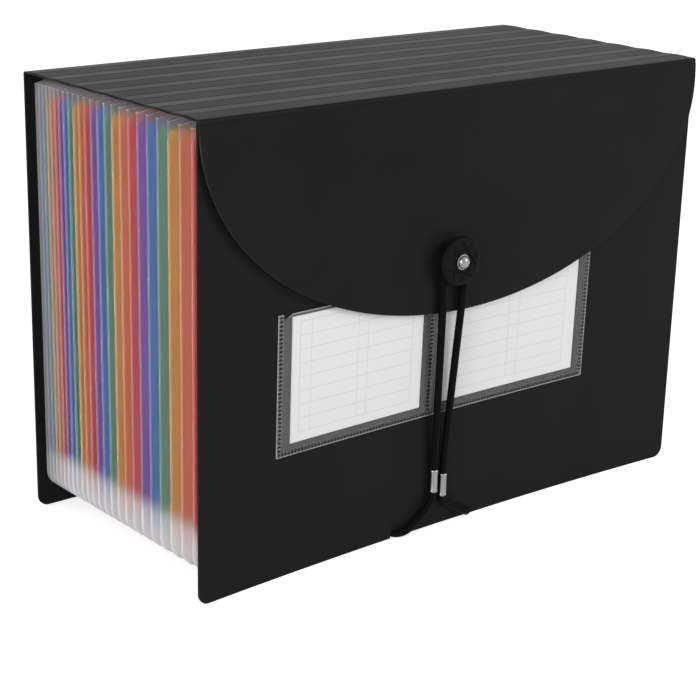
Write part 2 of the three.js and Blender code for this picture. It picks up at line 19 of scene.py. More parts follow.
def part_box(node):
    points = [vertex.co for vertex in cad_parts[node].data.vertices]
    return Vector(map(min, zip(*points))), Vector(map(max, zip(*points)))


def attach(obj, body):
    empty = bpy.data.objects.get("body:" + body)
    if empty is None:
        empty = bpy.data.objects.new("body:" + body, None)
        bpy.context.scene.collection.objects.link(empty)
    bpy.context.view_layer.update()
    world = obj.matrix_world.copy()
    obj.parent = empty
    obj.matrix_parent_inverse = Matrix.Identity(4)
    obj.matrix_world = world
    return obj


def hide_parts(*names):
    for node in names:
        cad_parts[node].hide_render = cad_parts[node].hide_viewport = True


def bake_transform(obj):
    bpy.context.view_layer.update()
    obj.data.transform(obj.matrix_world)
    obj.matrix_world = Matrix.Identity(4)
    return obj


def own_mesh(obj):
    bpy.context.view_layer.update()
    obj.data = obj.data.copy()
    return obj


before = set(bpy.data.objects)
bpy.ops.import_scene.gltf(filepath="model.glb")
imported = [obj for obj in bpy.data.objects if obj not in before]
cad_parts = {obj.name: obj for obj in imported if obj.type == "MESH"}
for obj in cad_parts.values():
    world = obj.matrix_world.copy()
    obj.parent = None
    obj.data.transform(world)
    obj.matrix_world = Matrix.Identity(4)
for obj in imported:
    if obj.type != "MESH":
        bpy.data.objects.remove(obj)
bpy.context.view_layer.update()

METRE_MM = 1000.0
BACK_FACE_MM = 75.0
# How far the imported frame's origin lies from the middle of the body's depth.
ORIGIN_SHIFT_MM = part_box("back_panel")[1].y * METRE_MM - BACK_FACE_MM

# Points nearer than this are one point.
MERGE_M = 2e-6

log = logging.getLogger("organizer")

Array = np.ndarray
Settings = dict[object, object]
Links = dict[object, Union[bpy.types.NodeSocket, bpy.types.Node]]


# Shared helpers: colour, nodes and meshes


def linear(colour: str) -> tuple[float, float, float, float]:
    """Turns an sRGB hex colour to linear light.

    Args:
        colour: The colour as "#rrggbb".

    Returns:
        Red, green, blue and an alpha of 1.
    """
    channels = [int(colour[i : i + 2], 16) / 255 for i in (1, 3, 5)]
    lit = [c / 12.92 if c <= 0.04045 else ((c + 0.055) / 1.055) ** 2.4 for c in channels]
    return (lit[0], lit[1], lit[2], 1.0)


def empty_tree(owner: Union[bpy.types.Material, bpy.types.World]) -> bpy.types.NodeTree:
    """Gives a material or a world an empty node tree.

    Args:
        owner: The material or the world.

    Returns:
        The tree.
    """
    owner.use_nodes = True
    owner.node_tree.nodes.clear()
    return owner.node_tree


def add_node(
    tree: bpy.types.NodeTree, kind: str, settings: Optional[Settings] = None, links: Optional[Links] = None
) -> bpy.types.Node:
    """Adds one node with its settings and its incoming links.

    Args:
        tree: The node tree that gets it.
        kind: The node's type name.
        settings: Values by input name or number, or by the node's own attribute.
        links: Sources by input name or number: a socket, or a node for its first output.

    Returns:
        The new node.
    """
    node = tree.nodes.new(kind)
    for key, value in (settings or {}).items():
        if isinstance(key, int) or key in node.inputs:
            node.inputs[key].default_value = value
        else:
            setattr(node, key, value)
    for key, source in (links or {}).items():
        socket = source.outputs[0] if isinstance(source, bpy.types.Node) else source
        tree.links.new(socket, node.inputs[key])
    return node


def place(points: Array) -> Array:
    """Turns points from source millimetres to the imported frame's metres."""
    return (np.asarray(points, float) + (0.0, ORIGIN_SHIFT_MM, 0.0)) / METRE_MM


@dataclass
class Surface:
    """Points in millimetres and the faces between them, with a value kept for each point if wanted."""

    points: Array
    faces: list[tuple[int, ...]]
    shares: Optional[Array] = None

    def as_object(self, name: str, sharp_degrees: float = 35.0) -> bpy.types.Object:
        """Makes a Blender object of it, with smooth faces and sharp edges above an angle.

        Args:
            name: The piece's name.
            sharp_degrees: The angle between two faces above which their edge stays sharp.

        Returns:
            The object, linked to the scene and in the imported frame.
        """
        mesh = bpy.data.meshes.new(name)
        mesh.from_pydata(place(self.points).tolist(), [], self.faces)
        if self.shares is not None:
            kept = mesh.attributes.new("share", "FLOAT", "POINT")
            kept.data.foreach_set("value", self.shares.astype(np.float32))
        work = bmesh.new()
        work.from_mesh(mesh)
        bmesh.ops.remove_doubles(work, verts=work.verts, dist=MERGE_M)
        bmesh.ops.recalc_face_normals(work, faces=work.faces)
        work.to_mesh(mesh)
        work.free()
        mesh.shade_smooth()
        mesh.set_sharp_from_angle(angle=math.radians(sharp_degrees))
        made = bpy.data.objects.new(name, mesh)
        bpy.context.scene.collection.objects.link(made)
        return made


def joined(parts: Sequence[Surface]) -> Surface:
    """Joins surfaces into one, with their kept shares if they have them.

    Args:
        parts: The surfaces.

    Returns:
        One surface, with the points and faces in the parts' order.
    """
    faces, start = [], 0
    for part in parts:
        faces += [tuple(start + i for i in face) for face in part.faces]
        start += len(part.points)
    shares = None if parts[0].shares is None else np.concatenate([part.shares for part in parts])
    return Surface(np.concatenate([part.points for part in parts]), faces, shares)


def grid_faces(rows: int, columns: int, start: int = 0, flip: bool = False) -> list[tuple[int, ...]]:
    """Lists the quads of a grid of points.

    Args:
        rows: Number of rows of points.
        columns: Number of points in a row.
        start: Number of the grid's first point.
        flip: Whether the quads are wound the other way.

    Returns:
        The quads as point numbers.
    """
    number = start + np.arange(rows * columns).reshape(rows, columns)
    corners = [number[:-1, :-1], number[1:, :-1], number[1:, 1:], number[:-1, 1:]]
    if flip:
        corners.reverse()
    return [tuple(int(v) for v in q) for q in np.stack(corners, -1).reshape(-1, 4)]


def closed_grid(front: Array, back: Array) -> Surface:
    """Makes a closed sheet from two layers of points.

    Args:
        front: One face's points, as rows, columns and the three coordinates.
        back: The other face's points, in the same order.

    Returns:
        The closed surface.
    """
    rows, columns = front.shape[:2]
    count = rows * columns
    number = np.arange(count).reshape(rows, columns)
    rim = np.concatenate([number[:, 0], number[-1, 1:], number[-2::-1, -1], number[0, -2:0:-1]])
    faces = grid_faces(rows, columns) + grid_faces(rows, columns, count, True)
    for a, b in zip(rim, np.roll(rim, -1)):
        faces.append((int(a), int(a + count), int(b + count), int(b)))
    return Surface(np.concatenate([front.reshape(-1, 3), back.reshape(-1, 3)]), faces)


def closed_sheet(x: Array, z: Array, outer: Array, inner: Array) -> Surface:
    """Makes a closed sheet from the X and Z of its points and the Y of its two faces."""
    return closed_grid(np.stack([x, outer, z], -1), np.stack([x, inner, z], -1))


def ring_faces(rings: int, around: int) -> list[tuple[int, ...]]:
    """Lists the quads between rings of points.

    Args:
        rings: Number of rings.
        around: Number of points in a ring.

    Returns:
        The quads as point numbers.
    """
    number = np.arange(rings * around).reshape(rings, around)
    after = np.roll(number, -1, axis=1)
    corners = np.stack([number[:-1], after[:-1], after[1:], number[1:]], -1)
    return [tuple(int(v) for v in quad) for quad in corners.reshape(-1, 4)]


def capped_tube(rings: Sequence[Array]) -> Surface:
    """Makes a closed tube from rings of points, with a flat face at each end.

    Args:
        rings: The rings in order, each with the same number of points.

    Returns:
        The closed surface.
    """
    around, last = len(rings[0]), (len(rings) - 1) * len(rings[0])
    ends = [tuple(range(around)), tuple(range(last, last + around))]
    return Surface(np.concatenate(rings), ends + ring_faces(len(rings), around))


def full_turn(steps: int) -> Array:
    """Returns the angles of evenly spaced steps round a full turn."""
    return np.linspace(0, 2 * math.pi, steps, endpoint=False)


def round_axis(turn: Array, side: Array, other: Array) -> Array:
    """Returns the directions at some angles round an axis, from two directions across it."""
    return np.cos(turn)[:, None] * side + np.sin(turn)[:, None] * other


def eased(share: Array) -> Array:
    """Returns shares from 0 to 1 with a soft start and end."""
    return share * share * (3 - 2 * share)


def turned(profile: Sequence[tuple[float, float]], centre: Array, out: Array, segments: int) -> Surface:
    """Turns a profile round an axis.

    Args:
        profile: Pairs of radius and distance along the axis; its two ends lie on the axis or meet.
        centre: Where distance 0 lies on the axis.
        out: The axis, of length 1.
        segments: Number of steps round.

    Returns:
        The closed surface.
    """
    side = np.cross(out, (0.3, 0.2, 1.0) if abs(out[2]) < 0.9 else (1.0, 0.0, 0.0))
    side /= np.linalg.norm(side)
    ring = round_axis(full_turn(segments), side, np.cross(out, side))
    points = [centre + out * along + radius * ring for radius, along in profile]
    return Surface(np.concatenate(points), ring_faces(len(profile), segments))


def bevelled(piece: bpy.types.Object, width_mm: float, least_degrees: float = 50.0) -> bpy.types.Object:
    """Rounds a piece's edges that are sharper than an angle.

    Args:
        piece: The piece.
        width_mm: The rounding's width.
        least_degrees: The angle.

    Returns:
        The piece.
    """
    bevel = piece.modifiers.new("edge", "BEVEL")
    bevel.width = width_mm / METRE_MM
    bevel.segments = 2
    bevel.limit_method = "ANGLE"
    bevel.angle_limit = math.radians(least_degrees)
    return piece


def dress(
    piece: bpy.types.Object, material: bpy.types.Material, slot: str, *nodes: str
) -> bpy.types.Object:
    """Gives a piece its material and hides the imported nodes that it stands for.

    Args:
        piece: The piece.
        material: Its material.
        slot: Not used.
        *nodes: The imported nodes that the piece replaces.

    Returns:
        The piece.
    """
    piece.data.materials.clear()
    piece.data.materials.append(material)
    if nodes:
        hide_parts(*nodes)
    return piece


def spaced(start: float, end: float, steps: int) -> Array:
    """Returns evenly spaced values, both ends included."""
    return np.linspace(start, end, steps + 1)


def corner_rise(inset: Array, radius: float) -> Array:
    """Tells how far a rounded lower corner rises at a distance from the sheet's side.

    Args:
        inset: Distances from the side edge.
        radius: The corner's radius.

    Returns:
        The rise at each distance, 0 past the corner.
    """
    along = np.clip(radius - inset, 0, radius)
    return radius - np.sqrt(radius**2 - along**2)


def corner_columns(half: float, radius: float, between: Array, steps: int, clear: float = 0.5) -> Array:
    """Lists columns that follow a rounded corner at each end and the given places between.

    Args:
        half: Half the sheet's width.
        radius: The corner's radius.
        between: Further columns.
        steps: Steps in each corner.
        clear: How far the further columns stay from the corners.

    Returns:
        The sorted columns.
    """
    corner = half - radius * (1 - np.sin(spaced(0, math.pi / 2, steps)))
    inner = between[np.abs(between) < half - radius - clear]
    return np.unique(np.round(np.concatenate([-corner, inner, corner]), 4))


# Finishes


@dataclass(frozen=True)
class Finish:
    """A material's name, its colour, the way it scatters light and how much that varies."""

    name: str
    colour: str
    roughness: float
    roughness_spread: float = 0.0
    relief_mm: float = 0.0

    def millimetres(self, tree: bpy.types.NodeTree) -> bpy.types.NodeSocket:
        """Gives the surface's own coordinates in millimetres.

        Args:
            tree: The material's node tree.

        Returns:
            The coordinates' socket.
        """
        where = add_node(tree, "ShaderNodeTexCoord").outputs["Object"]
        scale = {"operation": "SCALE", "Scale": METRE_MM}
        return add_node(tree, "ShaderNodeVectorMath", scale, {0: where}).outputs["Vector"]

    def roughness_ends(self) -> Settings:
        """Returns the two roughnesses between which a pattern moves."""
        low, high = self.roughness - self.roughness_spread, self.roughness + self.roughness_spread
        return {"To Min": low, "To Max": high}

    def relief(self) -> Settings:
        """Returns the bump's settings for a pattern from 0 to 1 of a real depth."""
        return {"Strength": 1.0, "Distance": self.relief_mm / METRE_MM}

    def values(self) -> Settings:
        """Returns further values for the shader's own sockets."""
        return {}

    def links(self, tree: bpy.types.NodeTree) -> Links:
        """Returns the shader's links, which a plain finish has none of."""
        return {}

    def build(self) -> bpy.types.Material:
        """Makes the material from its values and links.

        Returns:
            The material.
        """
        material = bpy.data.materials.new(self.name)
        tree = empty_tree(material)
        values = {"Base Color": linear(self.colour), "Roughness": self.roughness, **self.values()}
        shader = add_node(tree, "ShaderNodeBsdfPrincipled", values, self.links(tree))
        add_node(tree, "ShaderNodeOutputMaterial", None, {"Surface": shader})
        return material


@dataclass(frozen=True)
class EmbossedSheet(Finish):
    """Extruded polypropylene sheet with a fine sand emboss: satin, with soft broad highlights."""

    roughness_spread: float = 0.06
    relief_mm: float = 0.012
    gloss: float = 0.027
    # The real sand grain is near 0.3 mm, and is drawn three times as coarse so that it shows.
    grain_mm: float = 0.9
    streak_mm: float = 46.0
    streak: str = "#202021"
    # A painted highlight on the lighter lid bands and along the sheets' cut edges.
    painted_highlight: str = "#2c2c2d"
    # A painted shade in the middle of each score.
    score: str = "#020202"

    def values(self) -> Settings:
        """Returns the sheet's low gloss."""
        return {"Specular IOR Level": self.gloss}

    def links(self, tree: bpy.types.NodeTree) -> Links:
        """Puts grain in the bump and flow streaks in the roughness, and paints highlights on the lighter lid
        bands and the cut edges, and shade in the scores, into the colour.

        Args:
            tree: The material's node tree.

        Returns:
            The shader's links.
        """
        place_mm = self.millimetres(tree)
        grain = add_node(
            tree, "ShaderNodeTexNoise", {"Scale": 1 / self.grain_mm, "Detail": 3.0}, {"Vector": place_mm}
        )
        streaks = add_node(
            tree, "ShaderNodeTexNoise", {"Scale": 1 / self.streak_mm, "Detail": 2.0}, {"Vector": place_mm}
        )
        tones = {"data_type": "RGBA", 6: linear(self.colour), 7: linear(self.streak)}
        shade = add_node(tree, "ShaderNodeMix", tones, {0: streaks}).outputs[2]
        # The kept share is 1 on a band or a cut edge with a painted highlight, and below 0 in a score, which
        # gets painted shade.
        kept = add_node(tree, "ShaderNodeAttribute", {"attribute_name": "share"}).outputs["Fac"]
        # A score's negative share turns into painted shade.
        scored = add_node(tree, "ShaderNodeMath", {"operation": "MULTIPLY", 1: -1.0}, {0: kept})
        for share, tone in ((kept, self.painted_highlight), (scored, self.score)):
            toned = {"data_type": "RGBA", 7: linear(tone)}
            shade = add_node(tree, "ShaderNodeMix", toned, {0: share, 6: shade}).outputs[2]
        return {
            "Base Color": shade,
            "Roughness": add_node(tree, "ShaderNodeMapRange", self.roughness_ends(), {"Value": streaks}),
            "Normal": add_node(tree, "ShaderNodeBump", self.relief(), {"Height": grain}),
        }


@dataclass(frozen=True)
class FrostedFilm(Finish):
    """Frosted polypropylene film: near things show through softly, far ones blur to a milky grey."""

    roughness_spread: float = 0.05
    haze_mm: float = 9.0
    # No dyed sheet lies behind the lower rim, where the film is made milky as a painted glow of the light
    # from beneath; the rear pleats lie on each other, where a grey tint paints the shade between them.
    milky_from_mm: float = 38.0
    milky_to_mm: float = 29.0
    milky_share: float = 0.72
    squeezed_from_mm: float = 50.0
    squeezed_to_mm: float = 74.0
    squeezed_share: float = 0.5
    # A grey that paints the shade between the crowded rear pleats, and the white of the painted highlight on
    # the cut rim.
    crowd_shade: str = "#a3a0a7"
    rim_highlight: str = "#ffffff"
    clearest: float = -0.5
    open_alpha: float = 0.5
    open_transmission: float = 0.92
    milky_transmission: float = 0.35

    def values(self) -> Settings:
        """Returns a clear film's values; the links thin and cloud it."""
        return {"Transmission Weight": 1.0, "IOR": 1.12, "Alpha": 0.8, "Specular IOR Level": 0.12}

    def links(self, tree: bpy.types.NodeTree) -> Links:
        """Makes the film milky at its cut rim, painted white there as a highlight; milky where left bare, as
        a painted glow; milky and grey where squeezed, as painted shade; and clearer in a tight fold.

        Args:
            tree: The material's node tree.

        Returns:
            The shader's links.
        """
        place_mm = self.millimetres(tree)
        parts = add_node(tree, "ShaderNodeSeparateXYZ", None, {0: place_mm})
        cloud = add_node(
            tree, "ShaderNodeTexNoise", {"Scale": 1 / self.haze_mm, "Detail": 3.0}, {"Vector": place_mm}
        )
        # The kept share is above 0 along the film's cut rim, where it paints a white highlight, and below 0
        # where a fold pulls it tight.
        fold = add_node(tree, "ShaderNodeAttribute", {"attribute_name": "share"}).outputs["Fac"]
        lower, rear = (
            add_node(
                tree,
                "ShaderNodeMapRange",
                {"From Min": start, "From Max": end, "To Min": 0.0, "To Max": share},
                {"Value": parts.outputs[axis]},
            )
            for axis, start, end, share in (
                ("Z", self.milky_from_mm, self.milky_to_mm, self.milky_share),
                (
                    "Y",
                    self.squeezed_from_mm + ORIGIN_SHIFT_MM,
                    self.squeezed_to_mm + ORIGIN_SHIFT_MM,
                    self.squeezed_share,
                ),
            )
        )
        # The rear is tinted grey as painted shade, and the cut rim is whitened as a painted highlight.
        tones = {"data_type": "RGBA", 6: linear(self.colour), 7: linear(self.crowd_shade)}
        crowd_shaded = add_node(tree, "ShaderNodeMix", tones, {0: rear}).outputs[2]
        whitened = {"data_type": "RGBA", 7: linear(self.rim_highlight)}
        white = add_node(tree, "ShaderNodeMix", whitened, {0: fold, 6: crowd_shaded}).outputs[2]
        cloudy = add_node(tree, "ShaderNodeMath", {"operation": "MAXIMUM"}, {0: lower, 1: rear})
        milky = add_node(tree, "ShaderNodeMath", {"operation": "MAXIMUM"}, {0: fold, 1: cloudy})
        tight = add_node(tree, "ShaderNodeMath", {"operation": "MINIMUM", 1: 0.0}, {0: fold})
        clear = add_node(tree, "ShaderNodeMath", {"operation": "ADD"}, {0: milky, 1: tight})
        through = {"From Min": 0.0, "To Min": self.open_transmission, "To Max": self.milky_transmission}
        thinned = {"From Min": self.clearest, "To Min": self.open_alpha, "To Max": 1.0}
        return {
            "Base Color": white,
            "Roughness": add_node(tree, "ShaderNodeMapRange", self.roughness_ends(), {"Value": cloud}),
            "Transmission Weight": add_node(tree, "ShaderNodeMapRange", through, {"Value": milky}),
            "Alpha": add_node(tree, "ShaderNodeMapRange", thinned, {"Value": clear}),
        }


@dataclass(frozen=True)
class DyedFilm(Finish):
    """Dyed translucent polypropylene film: an even glow of colour, with weld dots down each side."""

    roughness_spread: float = 0.06
    relief_mm: float = 0.05
    cloud_mm: float = 12.0
    edge_mm: float = 159.3
    weld_inset_mm: float = 0.15
    weld_half_mm: float = 0.4
    dot_pitch_mm: float = 1.9
    dot_share: float = 0.5
    deep: str = "#000000"

    def values(self) -> Settings:
        """Returns a dyed film's slight translucency."""
        return {"Transmission Weight": 0.12, "IOR": 1.3}

    def links(self, tree: bpy.types.NodeTree) -> Links:
        """Darkens the flat dye where each weld dot has melted the film.

        Args:
            tree: The material's node tree.

        Returns:
            The shader's links.
        """
        place_mm = self.millimetres(tree)
        parts = add_node(tree, "ShaderNodeSeparateXYZ", None, {0: place_mm})
        across = add_node(tree, "ShaderNodeMath", {"operation": "ABSOLUTE"}, {0: parts.outputs["X"]})
        line = {"operation": "COMPARE", 1: self.edge_mm - self.weld_inset_mm, 2: self.weld_half_mm}
        in_line = add_node(tree, "ShaderNodeMath", line, {0: across})
        pitches = add_node(
            tree, "ShaderNodeMath", {"operation": "DIVIDE", 1: self.dot_pitch_mm}, {0: parts.outputs["Z"]}
        )
        wave = add_node(tree, "ShaderNodeMath", {"operation": "FRACT"}, {0: pitches})
        in_dot = add_node(tree, "ShaderNodeMath", {"operation": "LESS_THAN", 1: self.dot_share}, {0: wave})
        dot = add_node(tree, "ShaderNodeMath", {"operation": "MULTIPLY"}, {0: in_line, 1: in_dot})
        tones = {"data_type": "RGBA", 6: linear(self.colour), 7: linear(self.deep)}
        cloud = add_node(
            tree, "ShaderNodeTexNoise", {"Scale": 1 / self.cloud_mm, "Detail": 2.0}, {"Vector": place_mm}
        )
        return {
            "Base Color": add_node(tree, "ShaderNodeMix", tones, {0: dot}).outputs[2],
            "Roughness": add_node(tree, "ShaderNodeMapRange", self.roughness_ends(), {"Value": cloud}),
            "Normal": add_node(tree, "ShaderNodeBump", self.relief(), {"Height": dot}),
        }


@dataclass(frozen=True)
class ClearFilm(Finish):
    """Clear calendered film: clear where it lies on a card, a grey haze where air is behind it."""

    roughness_spread: float = 0.04
    relief_mm: float = 0.4
    wave_mm: float = 30.0
    veil: float = 0.04
    # The veil along the cut edge is a painted highlight.
    edge_highlight_veil: float = 0.6

    def values(self) -> Settings:
        """Returns a vinyl film's IOR."""
        return {"IOR": 1.5}

    def links(self, tree: bpy.types.NodeTree) -> Links:
        """Thickens the veil with the kept share, up to a painted highlight along the cut edge, and adds slow
        waves.

        Args:
            tree: The material's node tree.

        Returns:
            The shader's links.
        """
        haze = add_node(tree, "ShaderNodeAttribute", {"attribute_name": "share"}).outputs["Fac"]
        veils = {"To Min": self.veil, "To Max": self.edge_highlight_veil}
        waves = {"Scale": 1 / self.wave_mm, "Detail": 1.0}
        wave = add_node(tree, "ShaderNodeTexNoise", waves, {"Vector": self.millimetres(tree)})
        return {
            "Alpha": add_node(tree, "ShaderNodeMapRange", veils, {"Value": haze}),
            "Roughness": add_node(tree, "ShaderNodeMapRange", self.roughness_ends(), {"Value": wave}),
            "Normal": add_node(tree, "ShaderNodeBump", self.relief(), {"Height": wave}),
        }


@dataclass(frozen=True)
class RuledCard(Finish):
    """Uncoated white card printed with a faint ruled table: matt, with a soft tooth."""

    relief_mm: float = 0.01
    # Real fibres are near 0.05 mm wide, and are drawn coarser so that they show.
    fibre_mm: float = 0.5
    left_mm: float = 0.0
    width_mm: float = 84.5
    floor_mm: float = 70.0
    row_mm: float = 7.0
    first_row_mm: float = 4.7
    first_row_slack_mm: float = 0.05
    rows: int = 8
    columns: tuple[float, ...] = (0.059, 0.142, 0.494, 0.568, 0.917)
    line_mm: float = 0.35
    ink: str = "#d6d6da"

    def values(self) -> Settings:
        """Returns the card's low gloss."""
        return {"Specular IOR Level": 0.3}

    def links(self, tree: bpy.types.NodeTree) -> Links:
        """Prints rows and column lines inside a margin, and raises the card's fibres.

        Args:
            tree: The material's node tree.

        Returns:
            The shader's links.
        """
        place_mm = self.millimetres(tree)
        parts = add_node(tree, "ShaderNodeSeparateXYZ", None, {0: place_mm})
        along, up = (
            add_node(tree, "ShaderNodeMath", {"operation": "SUBTRACT", 1: start}, {0: parts.outputs[axis]})
            for axis, start in (("X", self.left_mm), ("Z", self.floor_mm + self.first_row_mm))
        )
        rows = add_node(tree, "ShaderNodeMath", {"operation": "DIVIDE", 1: self.row_mm}, {0: up})
        row = add_node(tree, "ShaderNodeMath", {"operation": "FRACT"}, {0: rows})
        in_row_line = {"operation": "LESS_THAN", 1: self.line_mm / self.row_mm}
        printed = add_node(tree, "ShaderNodeMath", in_row_line, {0: row})
        half = self.line_mm / 2
        for share in self.columns:
            in_line = {"operation": "COMPARE", 1: share * self.width_mm, 2: half}
            line = add_node(tree, "ShaderNodeMath", in_line, {0: along})
            printed = add_node(tree, "ShaderNodeMath", {"operation": "MAXIMUM"}, {0: printed, 1: line})
        limits = (
            ("GREATER_THAN", along, self.columns[0] * self.width_mm - half),
            ("LESS_THAN", along, self.columns[-1] * self.width_mm + half),
            ("GREATER_THAN", up, -self.first_row_slack_mm),
            ("LESS_THAN", up, self.rows * self.row_mm + self.line_mm),
        )
        for operation, value, limit in limits:
            inside = add_node(tree, "ShaderNodeMath", {"operation": operation, 1: limit}, {0: value})
            printed = add_node(tree, "ShaderNodeMath", {"operation": "MULTIPLY"}, {0: printed, 1: inside})
        tones = {"data_type": "RGBA", 6: linear(self.colour), 7: linear(self.ink)}
        fibre = add_node(
            tree, "ShaderNodeTexNoise", {"Scale": 1 / self.fibre_mm, "Detail": 4.0}, {"Vector": place_mm}
        )
        return {
            "Base Color": add_node(tree, "ShaderNodeMix", tones, {0: printed}).outputs[2],
            "Normal": add_node(tree, "ShaderNodeBump", self.relief(), {"Height": fibre}),
        }


@dataclass(frozen=True)
class MouldedPlastic(Finish):
    """Injection-moulded ABS with a spark-eroded grain: dark, with a soft rim of light."""

    roughness_spread: float = 0.08
    relief_mm: float = 0.02
    # A real spark-eroded grain is near 0.1 mm, and is drawn coarser so that it shows.
    grain_mm: float = 0.5
    gloss: float = 0.05

    def values(self) -> Settings:
        """Returns the moulding's low gloss."""
        return {"Specular IOR Level": self.gloss}

    def links(self, tree: bpy.types.NodeTree) -> Links:
        """Puts the fine grain in the bump and the roughness.

        Args:
            tree: The material's node tree.

        Returns:
            The shader's links.
        """
        fine = {"Scale": 1 / self.grain_mm, "Detail": 3.0}
        grain = add_node(tree, "ShaderNodeTexNoise", fine, {"Vector": self.millimetres(tree)})
        return {
            "Roughness": add_node(tree, "ShaderNodeMapRange", self.roughness_ends(), {"Value": grain}),
            "Normal": add_node(tree, "ShaderNodeBump", self.relief(), {"Height": grain}),
        }


@dataclass(frozen=True)
class FusedFilm(Finish):
    """Film melted onto the panel under a heated die: black spots with a raised rim that is painted slightly
    lighter as a highlight.
    """

    # A painted highlight on each spot's raised rim.
    rim: str = "#2c2c2d"

    def values(self) -> Settings:
        """Returns the fused film's low gloss."""
        return {"Specular IOR Level": 0.15}

    def links(self, tree: bpy.types.NodeTree) -> Links:
        """Paints a highlight on the spot's rim, where the kept share is 1; it is 0 in the middle.

        Args:
            tree: The material's node tree.

        Returns:
            The shader's links.
        """
        rim = add_node(tree, "ShaderNodeAttribute", {"attribute_name": "share"}).outputs["Fac"]
        tones = {"data_type": "RGBA", 6: linear(self.colour), 7: linear(self.rim)}
        return {"Base Color": add_node(tree, "ShaderNodeMix", tones, {0: rim}).outputs[2]}


@dataclass(frozen=True)
class PlatedSteel(Finish):
    """Nickel-plated steel, pressed and tumbled: bright, with dark and light bands."""

    roughness_spread: float = 0.07
    relief_mm: float = 0.006
    # Real tumbling marks are near 0.05 mm wide, and are drawn coarser so that they show.
    scratch_mm: float = 0.35

    def values(self) -> Settings:
        """Returns a metal's value; the IOR stays at its default."""
        return {"Metallic": 1.0}

    def links(self, tree: bpy.types.NodeTree) -> Links:
        """Puts fine tumbling marks in the roughness and the bump.

        Args:
            tree: The material's node tree.

        Returns:
            The shader's links.
        """
        fine = {"Scale": 1 / self.scratch_mm, "Detail": 4.0}
        marks = add_node(tree, "ShaderNodeTexNoise", fine, {"Vector": self.millimetres(tree)})
        return {
            "Roughness": add_node(tree, "ShaderNodeMapRange", self.roughness_ends(), {"Value": marks}),
            "Normal": add_node(tree, "ShaderNodeBump", self.relief(), {"Height": marks}),
        }


@dataclass(frozen=True)
class BraidedElastic(Finish):
    """Braided polyester over rubber: matt black, with a soft sheen along the plaits."""

    relief_mm: float = 0.03
    yarn_mm: float = 0.28
    yarn: str = "#0c0c0c"

    def values(self) -> Settings:
        """Returns the yarn's faint sheen."""
        return {"Sheen Weight": 0.01, "Sheen Roughness": 0.4, "Specular IOR Level": 0.05}

    def links(self, tree: bpy.types.NodeTree) -> Links:
        """Puts yarn fuzz on top of the plaits that the mesh has.

        Args:
            tree: The material's node tree.

        Returns:
            The shader's links.
        """
        fine = {"Scale": 1 / self.yarn_mm, "Detail": 2.0}
        fuzz = add_node(tree, "ShaderNodeTexNoise", fine, {"Vector": self.millimetres(tree)})
        tones = {"data_type": "RGBA", 6: linear(self.colour), 7: linear(self.yarn)}
        return {
            "Base Color": add_node(tree, "ShaderNodeMix", tones, {0: fuzz}).outputs[2],
            "Normal": add_node(tree, "ShaderNodeBump", self.relief(), {"Height": fuzz}),
        }


class DividerColour(Enum):
    """The dividers' dyes, from the front pocket backwards, then again."""

    RED = ("divider_red", "#f0525c", "#d8301f")
    ORANGE = ("divider_orange", "#f8864e", "#d96f1c")
    YELLOW = ("divider_yellow", "#f3ab38", "#dc930e")
    GREEN = ("divider_green", "#72ab88", "#3a8a58")
    BLUE = ("divider_blue", "#4a90dc", "#2566b4")
    PURPLE = ("divider_purple", "#9c5fca", "#7440a2")

    def finish(self) -> DyedFilm:
        """Returns the dyed film of this colour."""
        slot, colour, deep = self.value
        return DyedFilm(f"dyed_film_{slot.removeprefix('divider_')}", colour, 0.42, deep=deep)


COVER_SHEET = EmbossedSheet("polypropylene_black_embossed", "#1a1a1b", 0.4)
FROSTED_FILM = FrostedFilm("polypropylene_film_frosted", "#f4f2f4", 0.38)
CLEAR_FILM = ClearFilm("pvc_film_clear_calendered", "#b4b5b7", 0.2)
WELD_SPOT = FusedFilm("film_weld_fused", "#040404", 0.45)
BUTTON_PLASTIC = MouldedPlastic("abs_black_spark_eroded", "#0e0e0f", 0.5)
PLATED_STEEL = PlatedSteel("steel_nickel_plated", "#8c8c8e", 0.22)
ELASTIC_BRAID = BraidedElastic("polyester_braid_black", "#050505", 0.7)


# Studio


